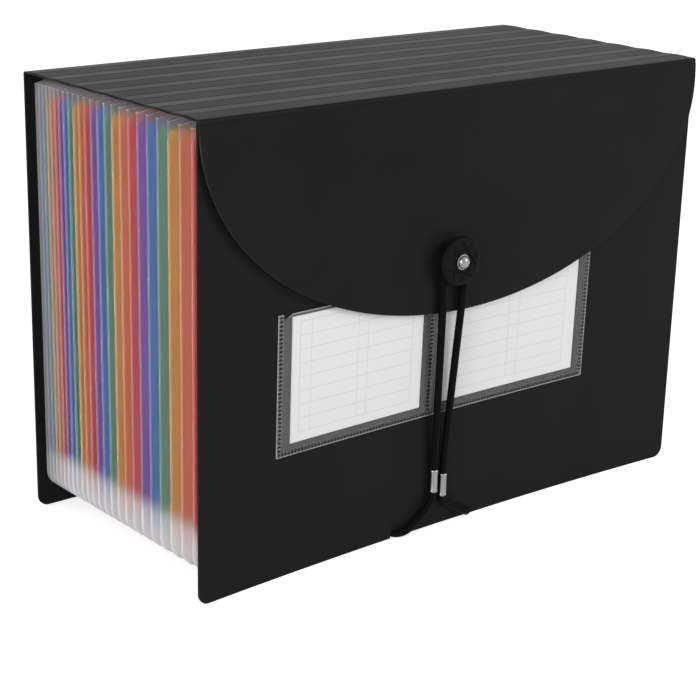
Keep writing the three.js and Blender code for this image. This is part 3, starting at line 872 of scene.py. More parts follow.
@dataclass
class Studio:
    """Camera, floor, lamps and world."""

    place_mm: tuple[float, float, float] = (-602.9, -695.4, 380.8)
    right: tuple[float, float, float] = (0.77014, -0.63745, 0.02351)
    up: tuple[float, float, float] = (0.1821, 0.25504, 0.94963)
    lens_mm: float = 91.35
    sensor_mm: float = 36.0
    seen_from_m: float = 0.05
    seen_to_m: float = 50.0
    floor_half_m: float = 6.0
    floor_paint: str = "#f4f4f4"
    floor_glow: float = 0.6
    white: str = "#ffffff"
    world_light: float = 0.5
    world_seen: float = 1.0
    aim_m: tuple[float, float, float] = (0.0, 0.0, 0.1)
    key_place_m: tuple[float, float, float] = (1.0, -1.7, 0.9)
    key_size_m: float = 1.0
    key_strength: float = 15.0
    fill_place_m: tuple[float, float, float] = (-1.9, -0.6, 0.7)
    fill_size_m: float = 1.2
    fill_strength: float = 24.0

    def camera(self) -> None:
        """Makes the camera where the photograph was taken from."""
        data = bpy.data.cameras.new("camera")
        data.sensor_width = self.sensor_mm
        data.lens = self.lens_mm
        data.clip_start, data.clip_end = self.seen_from_m, self.seen_to_m
        camera = bpy.data.objects.new("camera", data)
        right, up = Vector(self.right).normalized(), Vector(self.up).normalized()
        out = right.cross(up).normalized()
        up = out.cross(right)
        turn = Matrix((right, up, out)).transposed().to_4x4()
        camera.matrix_world = Matrix.Translation(Vector(self.place_mm) / METRE_MM) @ turn
        bpy.context.scene.collection.objects.link(camera)
        bpy.context.scene.camera = camera

    def floor(self) -> None:
        """Makes a pale floor that keeps the object's shadow and ends in the white background."""
        half = self.floor_half_m * METRE_MM
        corners = np.array([[-half, -half, 0], [half, -half, 0], [half, half, 0], [-half, half, 0]], float)
        mesh = bpy.data.meshes.new("floor")
        mesh.from_pydata(place(corners).tolist(), [], [(0, 1, 2, 3)])
        floor = bpy.data.objects.new("floor", mesh)
        bpy.context.scene.collection.objects.link(floor)
        material = bpy.data.materials.new("painted_floor_pale")
        tree = empty_tree(material)
        paint = add_node(tree, "ShaderNodeBsdfDiffuse", {"Color": linear(self.floor_paint)})
        light = {"Color": linear(self.white), "Strength": self.floor_glow}
        glow = add_node(tree, "ShaderNodeEmission", light)
        both = add_node(tree, "ShaderNodeAddShader", None, {0: paint, 1: glow})
        mixed = add_node(tree, "ShaderNodeMixShader", None, {0: self.seen(tree), 1: paint, 2: both})
        add_node(tree, "ShaderNodeOutputMaterial", None, {"Surface": mixed})
        mesh.materials.append(material)

    def seen(self, tree: bpy.types.NodeTree) -> bpy.types.NodeSocket:
        """Tells camera, mirror and see-through rays from the rest.

        Args:
            tree: The node tree.

        Returns:
            A socket that is 1 for those rays and 0 for the rest.
        """
        path = add_node(tree, "ShaderNodeLightPath")
        share = path.outputs["Is Camera Ray"]
        for name in ("Is Glossy Ray", "Is Transmission Ray"):
            both = {0: share, 1: path.outputs[name]}
            share = add_node(tree, "ShaderNodeMath", {"operation": "MAXIMUM"}, both).outputs[0]
        return share

    def world(self) -> None:
        """Makes a white background, and a softer white that lights the object."""
        world = bpy.data.worlds.new("studio")
        tree = empty_tree(world)
        ends = {"To Min": self.world_light, "To Max": self.world_seen}
        strength = add_node(tree, "ShaderNodeMapRange", ends, {"Value": self.seen(tree)})
        back = add_node(tree, "ShaderNodeBackground", {"Color": linear(self.white)}, {"Strength": strength})
        add_node(tree, "ShaderNodeOutputWorld", None, {"Surface": back})
        bpy.context.scene.world = world

    def lamp(self, name: str, place_m: Sequence[float], size_m: float, strength: float) -> None:
        """Makes one soft lamp that faces the object.

        Args:
            name: The lamp's name.
            place_m: Where it stands, in metres.
            size_m: The side of its square face.
            strength: Its power in watts.
        """
        data = bpy.data.lights.new(name, "AREA")
        data.size = size_m
        data.energy = strength
        lamp = bpy.data.objects.new(name, data)
        lamp.location = place_m
        lamp.rotation_mode = "QUATERNION"
        lamp.rotation_quaternion = (Vector(self.aim_m) - Vector(place_m)).to_track_quat("-Z", "Y")
        bpy.context.scene.collection.objects.link(lamp)

    def build(self) -> None:
        """Makes the floor, the world and the lamps."""
        bpy.context.scene.view_settings.view_transform = "Standard"
        self.floor()
        self.world()
        self.lamp("key_lamp", self.key_place_m, self.key_size_m, self.key_strength)
        self.lamp("fill_lamp", self.fill_place_m, self.fill_size_m, self.fill_strength)


# Cover


@dataclass
class Cover:
    """Front panel, back panel, scored lid and flap, with the two creases that hinge."""

    half_width: float = 165.0
    height: float = 232.0
    front_face: float = -75.0
    back_face: float = BACK_FACE_MM
    sheet: float = 1.2
    seat: float = 0.3
    corner_radius: float = 6.0
    corner_steps: int = 8
    bow: float = 5.5
    edge_round: float = 0.3
    panel_columns: int = 90
    panel_rows: int = 24
    back_reach: float = 150.0
    back_columns: int = 20
    back_rows: int = 4
    across_steps: int = 6
    lid_bands: int = 14
    lid_ridge: float = 0.4
    score_half: float = 0.5
    score_depth: float = 0.25
    # Every second band of the lid gets a painted highlight, each to its own degree.
    highlight_middle: float = 0.7
    highlight_spread: float = 0.3
    highlight_step: float = 2.3
    # Height of the row along each sheet's lower cut edge that gets a painted highlight.
    edge_highlight_width: float = 0.45
    flap_drop: float = 114.0
    flap_ear: float = 7.0
    flap_standoff: float = 3.0
    flap_spring: float = 60.0
    flap_columns: int = 120
    flap_rows: int = 28
    crease_radius: float = 1.5
    crease_reach: float = 1.0
    crease_steps: int = 8
    crease_bend: float = 2.3
    notch_centre: float = -12.5
    notch_spread: float = 26.1
    notch_width: float = 4.5
    notch_depth: float = 4.5
    notch_slope: float = 0.8
    notch_clear: float = 1.2

    def bow_at(self, x: Array, z: Array) -> Array:
        """Tells how far the front panel is bowed inward at points of its face."""
        return self.bow * (1 - (x / self.half_width) ** 2) * (1 - np.minimum(z, self.height) / self.height)

    def corner_rise_at(self, columns: Array) -> Array:
        """Returns a panel's lower edge in each column, with its rounded corners."""
        return corner_rise(self.half_width - np.abs(columns), self.corner_radius)

    def top(self) -> float:
        """Returns the height of the lid's flat ends."""
        return self.height + self.seat + self.sheet

    def flap_inside(self, x: Array, z: Array) -> Array:
        """Follows the flap's inner face.

        Args:
            x: The points' X.
            z: Their heights.

        Returns:
            The face's Y at each point.
        """
        share = np.clip((self.top() - z) / self.flap_spring, 0, 1)
        standoff = self.seat + (self.flap_standoff - self.seat) * np.sin(share * math.pi / 2)
        return self.front_face + self.bow_at(x, z) - standoff

    def sheet_of(self, columns: Array, low: Array, high: float, rows: int, inner: Callable) -> Surface:
        """Makes a standing sheet.

        Args:
            columns: The X of its columns.
            low: Its lower edge's height in each column.
            high: Its upper edge's height.
            rows: Steps up a column.
            inner: Gives the Y of its inner face from X and Z.

        Returns:
            The closed sheet.
        """
        x = np.repeat(columns[:, None], rows + 2, 1)
        edge = low[:, None] + self.edge_highlight_width
        above = edge + (high - edge) * np.linspace(0, 1, rows + 1)[None, :]
        z = np.hstack([low[:, None], above])
        y = inner(x, z)
        surface = closed_sheet(x, z, y - self.sheet, y)
        # The lower cut edge's row gets the painted highlight.
        edge_highlight = np.zeros_like(x)
        edge_highlight[:, 0] = 1.0
        surface.shares = np.tile(edge_highlight.ravel(), 2)
        return surface

    def front_panel(self) -> Surface:
        """Makes the bowed front panel with its two notches.

        Returns:
            The closed panel.
        """
        edges = [
            self.notch_centre + side * self.notch_spread + edge * (self.notch_width / 2 - step)
            for side in (-1, 1)
            for edge in (-1, 1)
            for step in (0.0, self.notch_slope / 2, self.notch_slope)
        ]
        plain = spaced(-self.half_width, self.half_width, self.panel_columns)
        apart = plain[np.min(np.abs(plain[:, None] - np.array(edges)[None, :]), 1) > self.notch_clear]
        columns = corner_columns(
            self.half_width, self.corner_radius, np.concatenate([apart, edges]), self.corner_steps
        )
        offset = np.abs(np.abs(columns - self.notch_centre) - self.notch_spread)
        share = np.clip((self.notch_width / 2 - offset) / self.notch_slope, 0, 1)
        low = np.maximum(self.notch_depth * eased(share), self.corner_rise_at(columns))
        inner = self.front_face + self.sheet
        return self.sheet_of(
            columns, low, self.height, self.panel_rows, lambda x, z: inner + self.bow_at(x, z)
        )

    def back_panel(self) -> Surface:
        """Makes the flat back panel, up to its crease.

        Returns:
            The closed panel.
        """
        plain = spaced(-self.back_reach, self.back_reach, self.back_columns)
        columns = corner_columns(self.half_width, self.corner_radius, plain, self.corner_steps)
        low, high = self.corner_rise_at(columns), self.height - self.crease_reach
        return self.sheet_of(
            columns, low, high, self.back_rows, lambda x, z: np.full_like(x, self.back_face)
        )

    def flap(self) -> Surface:
        """Makes the rounded flap, down from its crease.

        Returns:
            The closed flap.
        """
        columns = self.half_width * np.sin(spaced(-math.pi / 2, math.pi / 2, self.flap_columns))
        reach = np.sqrt(np.maximum(0, 1 - (columns / self.half_width) ** 2))
        low = self.top() - self.flap_ear - (self.flap_drop - self.flap_ear) * reach
        high = self.height - self.crease_reach
        return self.sheet_of(columns, low, high, self.flap_rows, self.flap_inside)

    def across(self, over: Sequence[tuple[float, float]], under: Sequence[tuple[float, float]]) -> Surface:
        """Runs two lines of Y and Z across the cover's width.

        Args:
            over: The outer face's line.
            under: The inner face's line.

        Returns:
            The closed sheet between them.
        """
        columns = spaced(-self.half_width, self.half_width, self.across_steps)
        layers = [np.array([[(x, y, z) for y, z in line] for x in columns]) for line in (over, under)]
        return closed_grid(*layers)

    def lid(self) -> Surface:
        """Makes the lid: shallow bands with a rounded fold or a cut score at each line.

        Returns:
            The closed lid.
        """
        lines = spaced(self.front_face, self.back_face, self.lid_bands)
        lines[0] += self.crease_reach
        lines[-1] -= self.crease_radius
        rises = np.array([self.lid_ridge if i % 2 else 0.0 for i in range(len(lines))])
        over, under, shares = [], [], []
        for i, line in enumerate(lines):
            steps = (0.0,) if i in (0, len(lines) - 1) else (-1.0, -0.5, 0.0, 0.5, 1.0)
            for step in steps:
                y = line + step * self.score_half
                base = self.height + self.seat + float(np.interp(y, lines, rises))
                cut = self.score_depth * (1 - abs(step)) if 0 < i < len(lines) - 1 else 0.0
                over.append((y, base + self.sheet - cut))
                under.append((y, base))
                band = max(0, i - 1) if step < 0 else i
                # Every second band gets its own share of painted highlight; a score's middle gets painted
                # shade.
                painted_highlight = self.highlight_middle + self.highlight_spread * math.sin(self.highlight_step * band)
                shares.append(painted_highlight * (band % 2) if step else -1.0)
        shares[0], shares[-1] = 0.0, shares[-2]
        surface = self.across(over, under)
        surface.shares = np.tile(shares, 2 * (self.across_steps + 1))
        return surface

    def crease(self, face: float) -> Surface:
        """Makes a rounded fold between the lid and an upright sheet.

        Args:
            face: The Y of the upright sheet's outer face.

        Returns:
            The closed strip.
        """
        side = math.copysign(1.0, face)
        centre_y, centre_z = face - side * self.crease_radius, self.top() - self.crease_radius
        outer = [(face, self.height - self.crease_reach)]
        inner = [(face - side * self.sheet, self.height - self.crease_reach)]
        for turn in spaced(0, math.pi / 2, self.crease_steps):
            for line, radius in ((outer, self.crease_radius), (inner, self.crease_radius - self.sheet)):
                line.append((centre_y + side * radius * math.cos(turn), centre_z + radius * math.sin(turn)))
        if side < 0:
            outer.append((centre_y + self.crease_reach, self.top()))
            inner.append((centre_y + self.crease_reach, self.top() - self.sheet))
        return self.across(outer, inner)

    def build(self) -> None:
        """Makes and dresses the cover."""
        material = COVER_SHEET.build()
        plan = (
            ("cover_front_panel", self.front_panel(), "front_panel", "body"),
            ("cover_back_panel", self.back_panel(), "back_panel", "body"),
            ("cover_lid", self.lid(), "scored_lid", "lid"),
            ("cover_flap", self.flap(), "front_flap", "flap"),
        )
        for name, surface, node, body in plan:
            piece = bevelled(surface.as_object(name, 24.0), self.edge_round)
            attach(dress(piece, material, "cover_sheet", node), body)
            report(piece)
        back, front = self.back_face, self.front_face - self.seat - self.sheet
        rear = dress(self.crease(back).as_object("crease_back"), material, "cover_sheet")
        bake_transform(rear)
        fore = dress(self.crease(front).as_object("crease_front"), material, "cover_sheet")
        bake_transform(fore)
        report(rear)
        report(fore)


# Pleated body and dividers


@dataclass
class PleatedBody:
    """The frosted film body and the coloured dividers welded into its outer folds."""

    cover: Cover
    pockets: int = 24
    film: float = 0.4
    inset: float = 5.0
    top_inset: float = 1.8
    skirt: float = 10.0
    corner_radius: float = 10.0
    side_steps: int = 14
    corner_steps: int = 12
    base_steps: int = 12
    rim_stations: int = 3
    # The inner folds keep a least turning radius in the body's lower corners.
    least_turn: float = 1.5
    pleat_depth: float = 12.0
    land: float = 1.7
    valley_land: float = 0.9
    slant: float = 3.0
    rim: float = 0.6
    rim_reach: float = 5.0
    strip_share: float = 0.6
    weld_gap: float = 0.5
    front_ratio: float = 3.0
    spread_power: float = 1.5
    fold_radius: float = 0.35
    tight_clear: float = -0.5
    tight_reach: float = 6.0
    # Share of painted white highlight along the film's upper rim near each outer fold.
    rim_highlight_share: float = 0.6
    # The inner folds wave a little, each fold in its own phase, and not at the upper edge.
    sway: float = 0.5
    sway_length: float = 31.0
    sway_phase: float = 1.7
    sway_fade: float = 30.0
    divider: float = 0.5
    divider_radius: float = 22.0
    divider_corner_steps: int = 14
    divider_top_gap: float = 4.0
    divider_shoulder: float = 4.0
    flange_half: float = 0.8
    flange: float = 0.35
    # Distances from a weld strip's end, and the share of its width that it has there.
    flange_ends: tuple[tuple[float, float], ...] = ((0.0, 0.3), (0.4, 0.75), (1.5, 1.0))
    tab_width: float = 34.0
    tab_height: float = 5.5
    tab_slope: float = 3.0
    tab_pitch: float = 46.0
    tab_places: int = 6
    folds: Array = field(init=False)

    def __post_init__(self) -> None:
        """Works out the fold lines, closer together towards the back."""
        start = self.cover.front_face + self.cover.sheet + self.weld_gap + self.film / 2
        end = self.cover.back_face - self.cover.sheet - self.weld_gap - self.film / 2
        share = np.linspace(0, 1, self.pockets)
        weights = 1 + (self.front_ratio - 1) * (1 - share) ** self.spread_power
        self.folds = start + np.concatenate([[0.0], np.cumsum(weights)]) * (end - start) / weights.sum()

    def half_width(self) -> float:
        """Returns half the width over the outer folds."""
        return self.cover.half_width - self.inset

    def top(self) -> float:
        """Returns the height of the film's upper edge at the inner folds."""
        return self.cover.height - self.top_inset

    def pleat_line(self) -> Array:
        """Folds the film's centre line.

        Returns:
            The line's points as depth and Y.
        """
        strip = self.pleat_depth * self.strip_share
        line = [(strip, self.folds[0]), (0.0, self.folds[0]), (0.0, self.folds[0] + self.land / 2)]
        for k, fold in enumerate(self.folds[1:]):
            valley = (fold + self.folds[k]) / 2
            line.append((self.pleat_depth, valley - self.valley_land / 2))
            line.append((self.pleat_depth, valley + self.valley_land / 2))
            line.append((0.0, fold - self.land / 2))
            if k < self.pockets - 1:
                line.append((0.0, fold + self.land / 2))
        line += [(0.0, self.folds[-1]), (strip, self.folds[-1])]
        return np.array(line)

    def rounded(self, line: Array) -> Array:
        """Rounds each corner of a line with a short curve.

        Args:
            line: The line's points.

        Returns:
            The rounded line's points.
        """
        out = [line[0]]
        for before, corner, after in zip(line, line[1:], line[2:]):
            legs = []
            for other in (before, after):
                leg = other - corner
                reach = min(self.fold_radius, 0.45 * float(np.linalg.norm(leg)))
                legs.append(corner + leg / np.linalg.norm(leg) * reach)
            for t in (0.0, 0.5, 1.0):
                out.append((1 - t) ** 2 * legs[0] + 2 * t * (1 - t) * corner + t * t * legs[1])
        out.append(line[-1])
        return np.array(out)

    def offset(self, line: Array, distance: float) -> Array:
        """Moves a line sideways by a distance, with mitred corners.

        Args:
            line: The line's points.
            distance: How far it moves.

        Returns:
            The moved line's points.
        """
        along = np.diff(line, axis=0)
        along /= np.linalg.norm(along, axis=1)[:, None]
        normal = np.stack([-along[:, 1], along[:, 0]], 1)
        before = np.vstack([normal[:1], normal])
        after = np.vstack([normal, normal[-1:]])
        mitre = (before + after) / (1 + np.sum(before * after, 1))[:, None]
        return line + mitre * distance

    def path(self) -> list[tuple[float, float, float]]:
        """Runs the body's U path from the left top to the right top.

        Returns:
            Each station's X, Z and the turn inward.
        """
        half = self.half_width() - self.film / 2
        floor = self.skirt + self.film / 2
        radius = self.corner_radius
        inner = half - radius
        top = self.top()
        down = [(-half, z, 0.0) for z in (top, top - self.rim)]
        down += [(-half, z, 0.0) for z in spaced(top - 2 * self.rim, floor + radius, self.side_steps)[:-1]]
        bend = [
            (-inner - radius * math.cos(a), floor + radius * (1 - math.sin(a)), a)
            for a in spaced(0, math.pi / 2, self.corner_steps)
        ]
        base = [(x, floor, math.pi / 2) for x in spaced(-inner, inner, self.base_steps)[1:-1]]
        left = down + bend
        right = [(-x, z, math.pi - a) for x, z, a in reversed(left)]
        return left + base + right

    def tightened(self, x: float, z: float, depth: Array) -> Array:
        """Tells how far points are pushed out in a lower corner to keep the least turning radius.

        Args:
            x: The X of a station of the U path.
            z: Its height.
            depth: The points' depths behind the outer folds.

        Returns:
            The push for each point, 0 outside the two corners.
        """
        reach = self.corner_radius + self.film / 2 + 0.01
        if z > self.skirt + reach or abs(x) < self.half_width() - reach:
            return np.zeros_like(depth)
        return np.maximum(0, self.least_turn - (self.corner_radius - depth))

    def ring(self, side: Array, x: float, z: float, turn: float, at_rim: bool) -> Array:
        """Places one face's pleat line at a station of the U path.

        Args:
            side: The line's points as depth and Y.
            x: The station's X.
            z: Its height.
            turn: The direction inward.
            at_rim: Whether it is one of the slanted stations at the upper edge.

        Returns:
            The line's points in space.
        """
        depth, y = side[:, 0], side[:, 1]
        inner = np.clip(depth / self.pleat_depth, 0, 1)
        tight = self.tightened(x, z, depth)
        px = x + depth * math.cos(turn) + math.copysign(1, -x) * tight * (1 - abs(math.cos(turn)))
        if at_rim:
            pz = z - self.slant * (1 - inner)
        else:
            pz = z + depth * math.sin(turn) + tight * (1 - math.sin(turn))
        # The front strip is bent with the front panel.
        bend_end, bend_start = self.folds[1] - self.land / 2, self.folds[0] - self.film / 2
        share = np.clip((bend_end - y) / (bend_end - bend_start), 0, 1)
        phase = self.sway_phase * np.floor(np.interp(y, self.folds, np.arange(len(self.folds))))
        sway = self.sway * inner * np.sin(pz / self.sway_length + phase)
        sway = sway * np.clip((self.top() - pz) / self.sway_fade, 0, 1)
        py = y + self.cover.bow_at(px, pz) * share + sway * (1 - share)
        return np.stack([px, py, pz], -1)

    def film_surface(self) -> Surface:
        """Makes the pleated film from its two faces, each run along the U path.

        Returns:
            The closed film.
        """
        line = self.rounded(self.pleat_line())
        stations = self.path()
        layers = []
        for side in (self.offset(line, self.film / 2), self.offset(line, -self.film / 2)):
            rings = []
            for i, (x, z, turn) in enumerate(stations):
                at_rim = min(i, len(stations) - 1 - i) < self.rim_stations
                rings.append(self.ring(side, x, z, turn, at_rim))
            layers.append(np.array(rings))
        surface = closed_grid(*layers)
        surface.shares = np.tile(self.white_at(line, len(stations)).ravel(), 2)
        return surface

    def white_at(self, line: Array, stations: int) -> Array:
        """Tells how much painted white highlight the film has at its upper rim, and how clear it is where an
        outer fold pulls it tight.

        Args:
            line: The rounded pleat line.
            stations: Number of stations along the body's U path.

        Returns:
            A share for each station and each point of the line.
        """
        tight = self.tight_clear * np.clip(1 - line[:, 0] / self.tight_reach, 0, 1)
        white = np.tile(tight, (stations, 1))
        rim = self.rim_highlight_share * np.clip(1 - line[:, 0] / self.rim_reach, 0, 1)
        for end in (0, stations - 1):
            white[end] = np.maximum(white[end], rim)
        return white

    def divider_surface(self, number: int) -> Surface:
        """Makes one divider, with its tab in one of the places along the top.

        Args:
            number: The divider's number from the front, starting at 0.

        Returns:
            The closed sheet.
        """
        half = self.half_width() - self.film - self.cover.seat
        floor = self.skirt + self.film + self.cover.seat
        tab = self.tab_pitch * (number % self.tab_places - (self.tab_places - 1) / 2)
        reach = self.tab_width / 2
        slope = (reach, reach - self.tab_slope / 2, reach - self.tab_slope)
        edges = np.array([tab + side * away for side in (-1, 1) for away in slope])
        columns = corner_columns(half, self.divider_radius, edges, self.divider_corner_steps)
        share = np.clip((reach - np.abs(columns - tab)) / self.tab_slope, 0, 1)
        high = self.top() - self.slant - self.divider_top_gap + self.tab_height * eased(share)
        high = high - corner_rise(half - np.abs(columns), self.divider_shoulder)
        low = floor + corner_rise(half - np.abs(columns), self.divider_radius)
        x = np.repeat(columns[:, None], 2, 1)
        z = np.stack([low, high], 1)
        y = np.full_like(x, self.folds[number + 1])
        sheet = closed_sheet(x, z, y - self.divider / 2, y + self.divider / 2)
        ends = (float(low[0]), float(high[0]), float(y[0, 0]))
        return joined([sheet, *(self.flange_surface(side * half, *ends) for side in (-1, 1))])

    def flange_surface(self, edge: float, low: float, high: float, y: float) -> Surface:
        """Makes the strip by which a divider is welded into its fold.

        Args:
            edge: The X of its outer face.
            low: Its lower end.
            high: Its upper end.
            y: The divider's Y.

        Returns:
            The closed strip, with softly rounded ends.
        """
        away, width = np.array(self.flange_ends).T
        z = np.concatenate([low + away, high - away[::-1]])
        half = self.flange_half * np.concatenate([width, width[::-1]])
        x = np.full((len(z), 2), edge)
        rows = np.stack([x, y + half[:, None] * np.array([-1.0, 1.0]), np.repeat(z[:, None], 2, 1)], -1)
        inward = np.array([-math.copysign(self.flange, edge), 0.0, 0.0])
        return closed_grid(rows, rows + inward)

    def build(self) -> None:
        """Makes and dresses the film body and the dividers."""
        film = self.film_surface().as_object("film_body", 80.0)
        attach(dress(film, FROSTED_FILM.build(), "frosted_film", "pleated_body"), "body")
        report(film)
        colours = list(DividerColour)
        materials = {colour: colour.finish().build() for colour in colours}
        for i in range(self.pockets - 1):
            colour = colours[i % len(colours)]
            piece = self.divider_surface(i).as_object(f"index_divider_{i + 1:02d}")
            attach(dress(piece, materials[colour], colour.value[0], f"divider_{i + 1:02d}"), "body")
        log.info("%s dividers", self.pockets - 1)


# Label pocket and cards


@dataclass
class LabelPocket:
    """Clear film welded to the front panel round three sides and down the middle, with two cards in it."""

    cover: Cover
    left: float = -119.0
    right: float = 93.0
    split: float = -20.0
    floor: float = 64.0
    height: float = 72.0
    weld: float = 5.0
    seam: float = 3.0
    seam_edge: float = 0.1
    film: float = 0.4
    card: float = 0.4
    card_inset: float = 3.5
    card_height: float = 64.0
    blur: float = 0.2
    rim: float = 0.3
    air_haze: float = 0.13
    weld_haze: float = 0.28
    corner_cut: float = 3.6
    corner_reach: float = 2.6
    # The real spots stand 1.5 mm apart, and are drawn coarser so that they show.
    spot_pitch: float = 2.1
    spot_along: float = 0.66
    spot_across: float = 1.2
    spot_height: float = 0.14
    spot_sink: float = 0.02
    spot_sides: int = 14
    # A spot's rings from its foot inwards: share of its size, share of its height, and its rim's share of
    # painted highlight.
    spot_rings: tuple[tuple[float, float, float], ...] = (
        (1.0, 0.0, 1.0),
        (0.9, 1.0, 1.0),
        (0.72, 0.9, 0.0),
        (0.6, 0.2, 0.0),
    )
    film_columns: int = 16
    film_rows: int = 10

    def lift(self) -> float:
        """Returns how far the film stands off between its welds."""
        return self.card + self.cover.seat

    def beside_weld(self, x: Array) -> Array:
        """Tells how far a place is beside the nearest upright weld, below 0 within it.

        Args:
            x: The places' X.

        Returns:
            The distance for each place.
        """
        half = self.seam / 2
        welds = (
            (self.left, self.left + self.seam),
            (self.split - half, self.split + half),
            (self.right - self.seam, self.right),
        )
        return np.min([np.maximum(low - x, x - high) for low, high in welds], axis=0)

    def back_at(self, x: Array, z: Array) -> Array:
        """Follows the film's inner face.

        Args:
            x: The points' X.
            z: Their heights.

        Returns:
            The face's Y at each point.
        """
        clear = np.minimum(self.beside_weld(x), z - self.floor - self.seam)
        share = np.clip(clear / (2 * self.lift()), 0, 1)
        rise = self.lift() * np.sin(share * math.pi / 2)
        return self.cover.front_face + self.cover.bow_at(x, z) - self.cover.seat - rise

    def film_surface(self) -> Surface:
        """Makes the pocket's film.

        Returns:
            The closed film, with its haze as the kept share.
        """
        half, reach = self.seam / 2, 2 * self.lift()
        starts = [self.left + self.seam, self.split + half]
        ends = [self.split - half, self.right - self.seam]
        steps = np.array([0.0, 0.25, 0.5, 0.75, 1.0]) * reach
        columns = [np.array([self.left, self.right])]
        for start, end in zip(starts, ends):
            columns += [start + steps, end - steps, spaced(start + reach, end - reach, self.film_columns)]
        top = self.floor + self.height
        base = self.floor + self.seam
        rows = [np.array([self.floor, top]), base + steps, spaced(base + reach, top, self.film_rows)]
        for start, end, floor, high in self.card_boxes():
            near = np.array([-self.blur, self.blur])
            columns += [start + near, end + near]
            rows += [floor + near, high + near]
        rim = np.array([self.rim, 2 * self.rim])
        columns += [self.left + rim, self.right - rim]
        rows += [self.floor + rim, top - rim]
        x = np.unique(np.round(np.concatenate(columns), 3))
        z = np.unique(np.round(np.concatenate(rows), 3))
        x2, z2 = np.meshgrid(x, z, indexing="ij")
        # The open edge is cut back beside each weld.
        beside = self.beside_weld(x2)
        bevel = self.corner_cut * np.clip(1 - beside / self.corner_reach, 0, 1)
        cut = np.where(beside > 0.01, bevel, 0.0)
        z2 = z2 - cut * (z2 - self.floor) / self.height
        back = self.back_at(x2, z2)
        surface = closed_sheet(x2, z2, back - self.film, back)
        surface.shares = np.tile(self.haze_at(x2, z2).ravel(), 2)
        return surface

    def card_boxes(self) -> list[tuple[float, float, float, float]]:
        """Places the two cards between the welds.

        Returns:
            Each card's left, right, lower and upper edge.
        """
        half = self.weld / 2
        floor = self.floor + self.weld + self.lift() + self.cover.seat
        spans = ((self.left + self.weld, self.split - half), (self.split + half, self.right - self.weld))
        inset, top = self.card_inset, floor + self.card_height
        return [(start + inset, end - inset, floor, top) for start, end in spans]

    def haze_at(self, x: Array, z: Array) -> Array:
        """Tells how hazy the film looks: clear over a card, grey over air, with a painted highlight at its
        cut edge.

        Args:
            x: The points' X.
            z: Their heights.

        Returns:
            A share for each point.
        """
        in_weld = np.minimum(self.beside_weld(x), z - self.floor - self.seam) < self.seam_edge
        haze = np.where(in_weld, self.weld_haze, self.air_haze)
        for start, end, floor, high in self.card_boxes():
            haze[(x > start) & (x < end) & (z > floor) & (z < high)] = 0.0
        top = self.floor + self.height
        edge = np.minimum.reduce([x - self.left, self.right - x, z - self.floor, top - z])
        # The cut edge gets a painted highlight.
        haze[edge < 1.5 * self.rim] = 1.0
        return haze

    def spot_surface(self, x: float, z: float, upright: bool) -> Surface:
        """Makes one oval weld spot on the film, dished inside a low rim.

        Args:
            x: Its middle's X.
            z: Its middle's height.
            upright: Whether the seam runs up the panel.

        Returns:
            The closed spot.
        """
        turn = full_turn(self.spot_sides)
        wide, tall = (self.spot_across, self.spot_along) if upright else (self.spot_along, self.spot_across)
        y = float(self.back_at(np.array(x), np.array(z))) - self.film + self.spot_sink
        rings = []
        for size, rise, _ in self.spot_rings:
            ring = [x + size * wide * np.cos(turn), np.full_like(turn, y - rise * self.spot_height)]
            rings.append(np.stack([*ring, z + size * tall * np.sin(turn)], -1))
        surface = capped_tube(rings)
        surface.shares = np.repeat([share for _, _, share in self.spot_rings], self.spot_sides)
        return surface

    def seams(self) -> Surface:
        """Makes the weld spots of all four seams.

        Returns:
            All the spots as one surface.
        """
        half, pitch = self.seam / 2, self.spot_pitch
        heights = np.arange(self.floor + half + pitch, self.floor + self.height - 1, pitch)
        places = np.arange(self.left + half, self.right - half + 0.1, pitch)
        uprights = (self.left + half, self.split, self.right - half)
        spots = [self.spot_surface(x, float(z), True) for x in uprights for z in heights]
        spots += [self.spot_surface(float(x), self.floor + half, False) for x in places]
        return joined(spots)

    def build(self) -> None:
        """Makes and dresses the pocket, its seams and its cards."""
        film = self.film_surface().as_object("pocket_film", 40.0)
        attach(dress(film, CLEAR_FILM.build(), "clear_film", "label_pocket"), "body")
        report(film)
        seams = self.seams().as_object("pocket_weld_spots", 60.0)
        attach(dress(seams, WELD_SPOT.build(), "clear_film"), "body")
        report(seams)
        for name, (start, end, floor, _) in zip(("label_card_left", "label_card_right"), self.card_boxes()):
            title = f"card_white_uncoated_{name.removeprefix('label_card_')}"
            place_in = {"left_mm": start, "width_mm": end - start, "floor_mm": floor}
            finish = RuledCard(title, "#ebebec", 0.8, **place_in)
            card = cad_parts[name]
            dress(card, finish.build(), "label_card")
            report(card)


# Button, rivet and elastic


